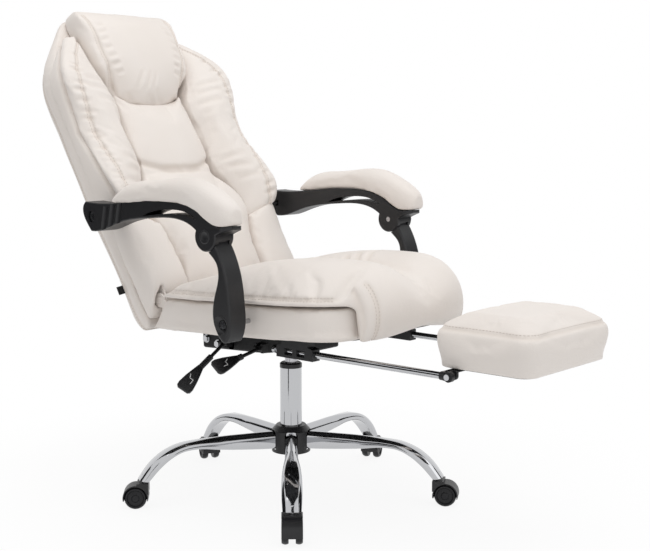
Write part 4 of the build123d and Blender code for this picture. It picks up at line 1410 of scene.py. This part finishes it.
@dataclass
class Studio:
    """Camera, lamps, white surroundings and the dark cards that the chrome mirrors.

    Args:
        eye: camera place, solved from the photograph.
        look: viewing direction.
        lens: focal length for a 36 mm wide sensor.
        ambient: strength of the surroundings on matt surfaces.
    """

    eye: Point = (-2.0899, -1.9137, 0.8614)
    look: Point = (0.75008, 0.64957, -0.12428)
    lens: float = 69.36
    ambient: float = 0.64

    def build(self) -> None:
        """Set up the whole studio."""
        self._camera()
        self._world()
        self._floor()
        self._lamp("top", (-0.3, -0.4, 3.3), 2.8, 44.0)
        self._lamp("front", (0.6, -3.2, 2.0), 2.2, 10.0)
        self._card("ceiling_card", (0.5, 0.43, 2.7), 4.6, 4.6, (0, 0, -1))
        self._card("stripe_card", (-1.06, -0.3, 0.3), 0.18, 0.6, (0.96, 0.28, 0))
        self._card("left_card", (-1.7, 1.9, 0.5), 2.6, 2.6, (1.0, -1.0, 0))
        self._card("right_card", (2.1, -2.0, 0.5), 2.0, 2.4, (-1.0, 0.9, 0))
        self._card("front_card", (0.5, -3.4, 0.4), 0.9, 1.6, (-0.15, 1.0, 0))
        bpy.context.scene.view_settings.view_transform = "Standard"

    def _camera(self) -> None:
        """Camera solved from the photograph."""
        data = bpy.data.cameras.new("camera")
        data.lens = self.lens
        data.sensor_width = 36.0
        data.sensor_fit = "HORIZONTAL"
        data.clip_end = 50
        cam = bpy.data.objects.new("camera", data)
        cam.location = self.eye
        cam.rotation_euler = Vector(self.look).to_track_quat("-Z", "Y").to_euler()
        bpy.context.scene.collection.objects.link(cam)
        bpy.context.scene.camera = cam

    def _world(self) -> None:
        """Even white surroundings, pure white where they are seen or mirrored."""
        world = bpy.data.worlds.new("studio")
        world.use_nodes = True
        nodes = Nodes(world.node_tree)
        light = nodes.add("ShaderNodeMapRange",
                          {"To Min": self.ambient, "To Max": 1.0, "Value": nodes.seen()})
        nodes.feed(world.node_tree.nodes["Background"],
                   {"Color": (1, 1, 1, 1), "Strength": light.outputs["Result"]})
        bpy.context.scene.world = world

    def _sheet(self, name: str, wide: float, deep: float) -> Object:
        """Flat rectangle round the origin.

        Args:
            name: object name.
            wide: size along X.
            deep: size along Y.

        Returns:
            The new object.
        """
        work = bmesh.new()
        bmesh.ops.create_grid(work, x_segments=1, y_segments=1, size=0.5)
        bmesh.ops.scale(work, vec=(wide, deep, 1), verts=work.verts)
        obj = new_object(name, work)
        return obj

    def _floor(self) -> None:
        """White floor that keeps a soft shadow."""
        obj = self._sheet("floor", 14.0, 14.0)
        mat = bpy.data.materials.new("floor")
        mat.use_nodes = True
        tree = mat.node_tree
        tree.nodes.remove(tree.nodes["Principled BSDF"])
        nodes = Nodes(tree)
        matte = nodes.add("ShaderNodeBsdfDiffuse", {"Color": (0.9, 0.9, 0.9, 1)})
        glow = nodes.add("ShaderNodeEmission", {"Strength": 1.0})
        place = nodes.add("ShaderNodeTexCoord", {}).outputs["Object"]
        far = nodes.add("ShaderNodeVectorMath", {0: place}, operation="LENGTH")
        fade = nodes.add("ShaderNodeMapRange", {
            "From Min": 0.35, "From Max": 1.1, "To Min": 0.9, "To Max": 1.0,
            "Value": far.outputs["Value"]}, interpolation_type="SMOOTHSTEP")
        share = nodes.add("ShaderNodeMath", {0: nodes.seen(), 1: fade.outputs["Result"]},
                          operation="MULTIPLY")
        mix = nodes.add("ShaderNodeMixShader", {
            "Fac": share.outputs["Value"], 1: matte.outputs["BSDF"], 2: glow.outputs["Emission"]})
        nodes.feed(tree.nodes["Material Output"], {"Surface": mix.outputs["Shader"]})
        obj.data.materials.append(mat)

    def _card(self, name: str, at: Point, wide: float, high: float, face: Point) -> None:
        """Dark card that only mirror reflections see.

        Args:
            name: object name.
            at: middle of the card.
            wide: width.
            high: height.
            face: direction it faces.
        """
        obj = self._sheet(name, wide, high)
        obj.rotation_euler = Vector(face).to_track_quat("Z", "Y").to_euler()
        obj.location = at
        obj.visible_camera = False
        obj.visible_diffuse = False
        obj.visible_shadow = False
        obj.visible_transmission = False
        mat = bpy.data.materials.get("dark_card") or bpy.data.materials.new("dark_card")
        mat.use_nodes = True
        shader = mat.node_tree.nodes["Principled BSDF"]
        Nodes(mat.node_tree).feed(shader, {"Base Color": (0.01, 0.01, 0.012, 1), "Roughness": 1.0})
        obj.data.materials.append(mat)

    def _lamp(self, name: str, at: Point, size: float, power: float) -> None:
        """Soft area lamp aimed at the seat.

        Args:
            name: lamp name.
            at: place of the lamp.
            size: side of its square.
            power: watts.
        """
        data = bpy.data.lights.new(name, "AREA")
        data.size = size
        data.energy = power
        obj = bpy.data.objects.new(name, data)
        obj.location = at
        aim = Vector((0, 0, 0.55)) - Vector(at)
        obj.rotation_euler = aim.to_track_quat("-Z", "Y").to_euler()
        bpy.context.scene.collection.objects.link(obj)


def main() -> None:
    """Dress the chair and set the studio."""
    logging.basicConfig(level=logging.INFO, format="%(name)s %(message)s")
    Rigid().dress()
    StarBase().build()
    LeverPaddle(
        "height_lever_paddle", "height_lever", pin=(-0.118, 0.095, 0.357),
        neck=(-0.196, 0.095, 0.3099), tip=(-0.25, 0.095, 0.268), face=(-0.7, -0.62, 0.35)).build()
    LeverPaddle(
        "recline_lever_paddle", "recline_lever", pin=(-0.118, -0.016, 0.357),
        neck=(-0.19, -0.016, 0.3437), tip=(-0.253, -0.016, 0.333), face=(-0.6, -0.6, 0.55),
        ribs=3).build()
    SeamTab().build()
    HingeCap(1, "arm_left").build()
    HingeCap(-1, "arm_right").build()
    Upholstery().make()
    Studio().build()


if __name__ == "__main__":
    main()
